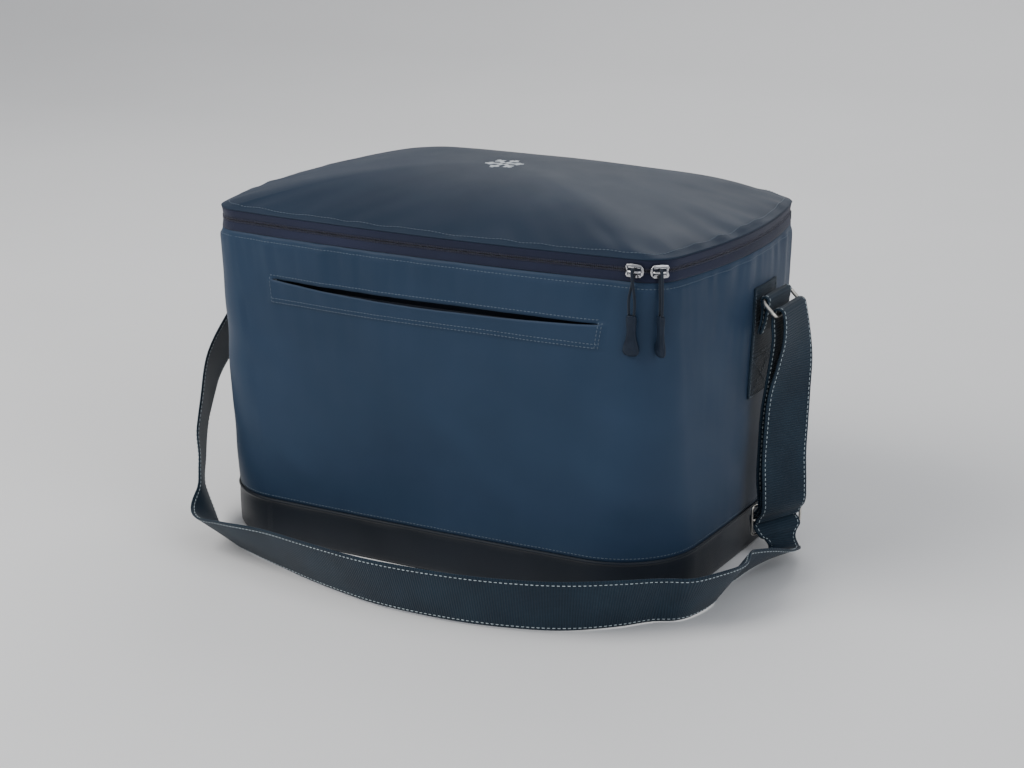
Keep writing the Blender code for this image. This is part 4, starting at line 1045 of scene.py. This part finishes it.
# ---- generic frost mark on the lid
def make_mark():
    """A plain six-armed frost crystal printed on the lid."""
    centre = Vector((0.002, -0.009))
    size, half = 0.0165, 0.0017
    verts, faces = [], []

    def bar(a, b):
        run = (b - a).normalized()
        side = Vector((-run.y, run.x)) * half
        first = len(verts)
        steps = 6
        for k in range(steps + 1):
            p = a.lerp(b, k / steps)
            for s in (-1, 1):
                q = p + side * s
                verts.append(Vector((q.x, q.y, surface_z(q) + 0.00025)))
        for k in range(steps):
            faces.append((first + 2 * k, first + 2 * k + 2, first + 2 * k + 3, first + 2 * k + 1))

    for k in range(6):
        a = math.radians(60 * k + 15)
        d = Vector((math.cos(a), math.sin(a)))
        bar(centre + d * 0.002, centre + d * size)
        for sign in (-1, 1):
            b = a + sign * math.radians(55)
            start = centre + d * size * 0.6
            bar(start, start + Vector((math.cos(b), math.sin(b))) * size * 0.30)
    mark = thicken(build("lid_mark", verts, faces, PRINT), 0.0002)
    settle(mark, "lid", "shell")


def surface_z(q):
    """Height of the lid's fabric over a plan point."""
    angles = np.arctan2(TOP_P[:, 1], TOP_P[:, 0])
    i = int(np.argmin(np.abs(np.angle(np.exp(1j * (angles - math.atan2(q.y, q.x)))))))
    u = 1 - math.hypot(q.x, q.y) / float(np.linalg.norm(TOP_P[i]))
    return lid_point(i, u).z


# ---- carried-over solids
def dress_frame():
    """Finishes for the CAD solids that are shown as they are."""
    looks = {"foam_wall": FOAM, "base_foam": FOAM, "lid_foam": FOAM, "base_board": BOARD, "base_panel": BAND,
             "rim_binding": BINDING, "lid_binding": BINDING, "pocket_pouch": BINDING,
             "zip_end_tab_left": BINDING, "zip_end_tab_right": BINDING}
    for node, mat in looks.items():
        obj = bpy.data.objects[node]
        if obj.data.materials:
            obj.data.materials[0] = mat
        else:
            obj.data.materials.append(mat)


# ---- studio
def aim(obj, location, target):
    obj.location = location
    obj.rotation_euler = (Vector(target) - Vector(location)).to_track_quat("-Z", "Y").to_euler()
    bpy.context.scene.collection.objects.link(obj)


def area(name, location, target, size, power, color=(1, 1, 1)):
    data = bpy.data.lights.new(name, "AREA")
    data.energy = power
    data.size = size
    data.color = color
    aim(bpy.data.objects.new(name, data), location, target)


def make_studio():
    world = bpy.data.worlds.new("studio")
    bpy.context.scene.world = world
    world.use_nodes = True
    sky = world.node_tree.nodes["Background"]
    sky.inputs["Color"].default_value = (0.93, 0.95, 1.0, 1.0)
    sky.inputs["Strength"].default_value = 0.50
    mat = mottled("studio_floor", 0.75, 3.0, (0.80, 0.80, 0.80), (0.83, 0.83, 0.83), low=0.2, high=0.8)[0]
    profile = [(-3.0, 0.0), (1.6, 0.0), (2.1, 0.06), (2.5, 0.25), (2.8, 0.6), (2.95, 1.1), (3.0, 2.6)]
    rows = [[Vector((x, y, z)) for x in np.linspace(-4.0, 4.0, 9)] for y, z in profile]
    uvs = [[(p.x, p.y) for p in row] for row in rows]
    floor = grid("studio_sweep", rows, mat, uvs, closed=False)
    area("key", (-1.3, -1.5, 2.0), (0, 0, 0.15), 1.6, 52, (1.0, 0.98, 0.95))
    area("fill", (2.2, -0.9, 1.3), (0, 0, 0.15), 1.8, 22, (0.93, 0.96, 1.0))
    area("rim", (-0.4, 1.7, 1.7), (0, 0, 0.25), 1.4, 15)


def make_camera():
    data = bpy.data.cameras.new("camera")
    data.lens = 76.8
    data.sensor_width = 36.0
    cam = bpy.data.objects.new("camera", data)
    aim(cam, (0.8685, -1.5805, 0.6598), (0.0032, 0.0018, 0.1209))
    bpy.context.scene.camera = cam


def main():
    make_camera()
    make_studio()
    for side, sign in (("left", -1), ("right", 1)):
        make_ring(side, sign)
        make_tab(side, sign)
    make_strap()
    make_adjuster()
    make_shell()
    make_body_stitching()
    make_base_band()
    make_lid()
    make_lid_liner()
    make_tub()
    make_zip()
    bow = TOP["bow_front"]
    front_spot = slider_frame((0.0, bow - TOP["half_d"]), bow, math.asin(0.1835 / bow))
    corner_spot = slider_frame(corner_centre(TOP), TOP["corner"], math.radians(40))
    for side, frame3, nose, twist in (("left", front_spot, 1, 0.0), ("right", corner_spot, -1, math.radians(75))):
        make_slider(side, frame3, nose)
        make_puller(side, frame3, twist)
    make_mark()
    dress_frame()


main()
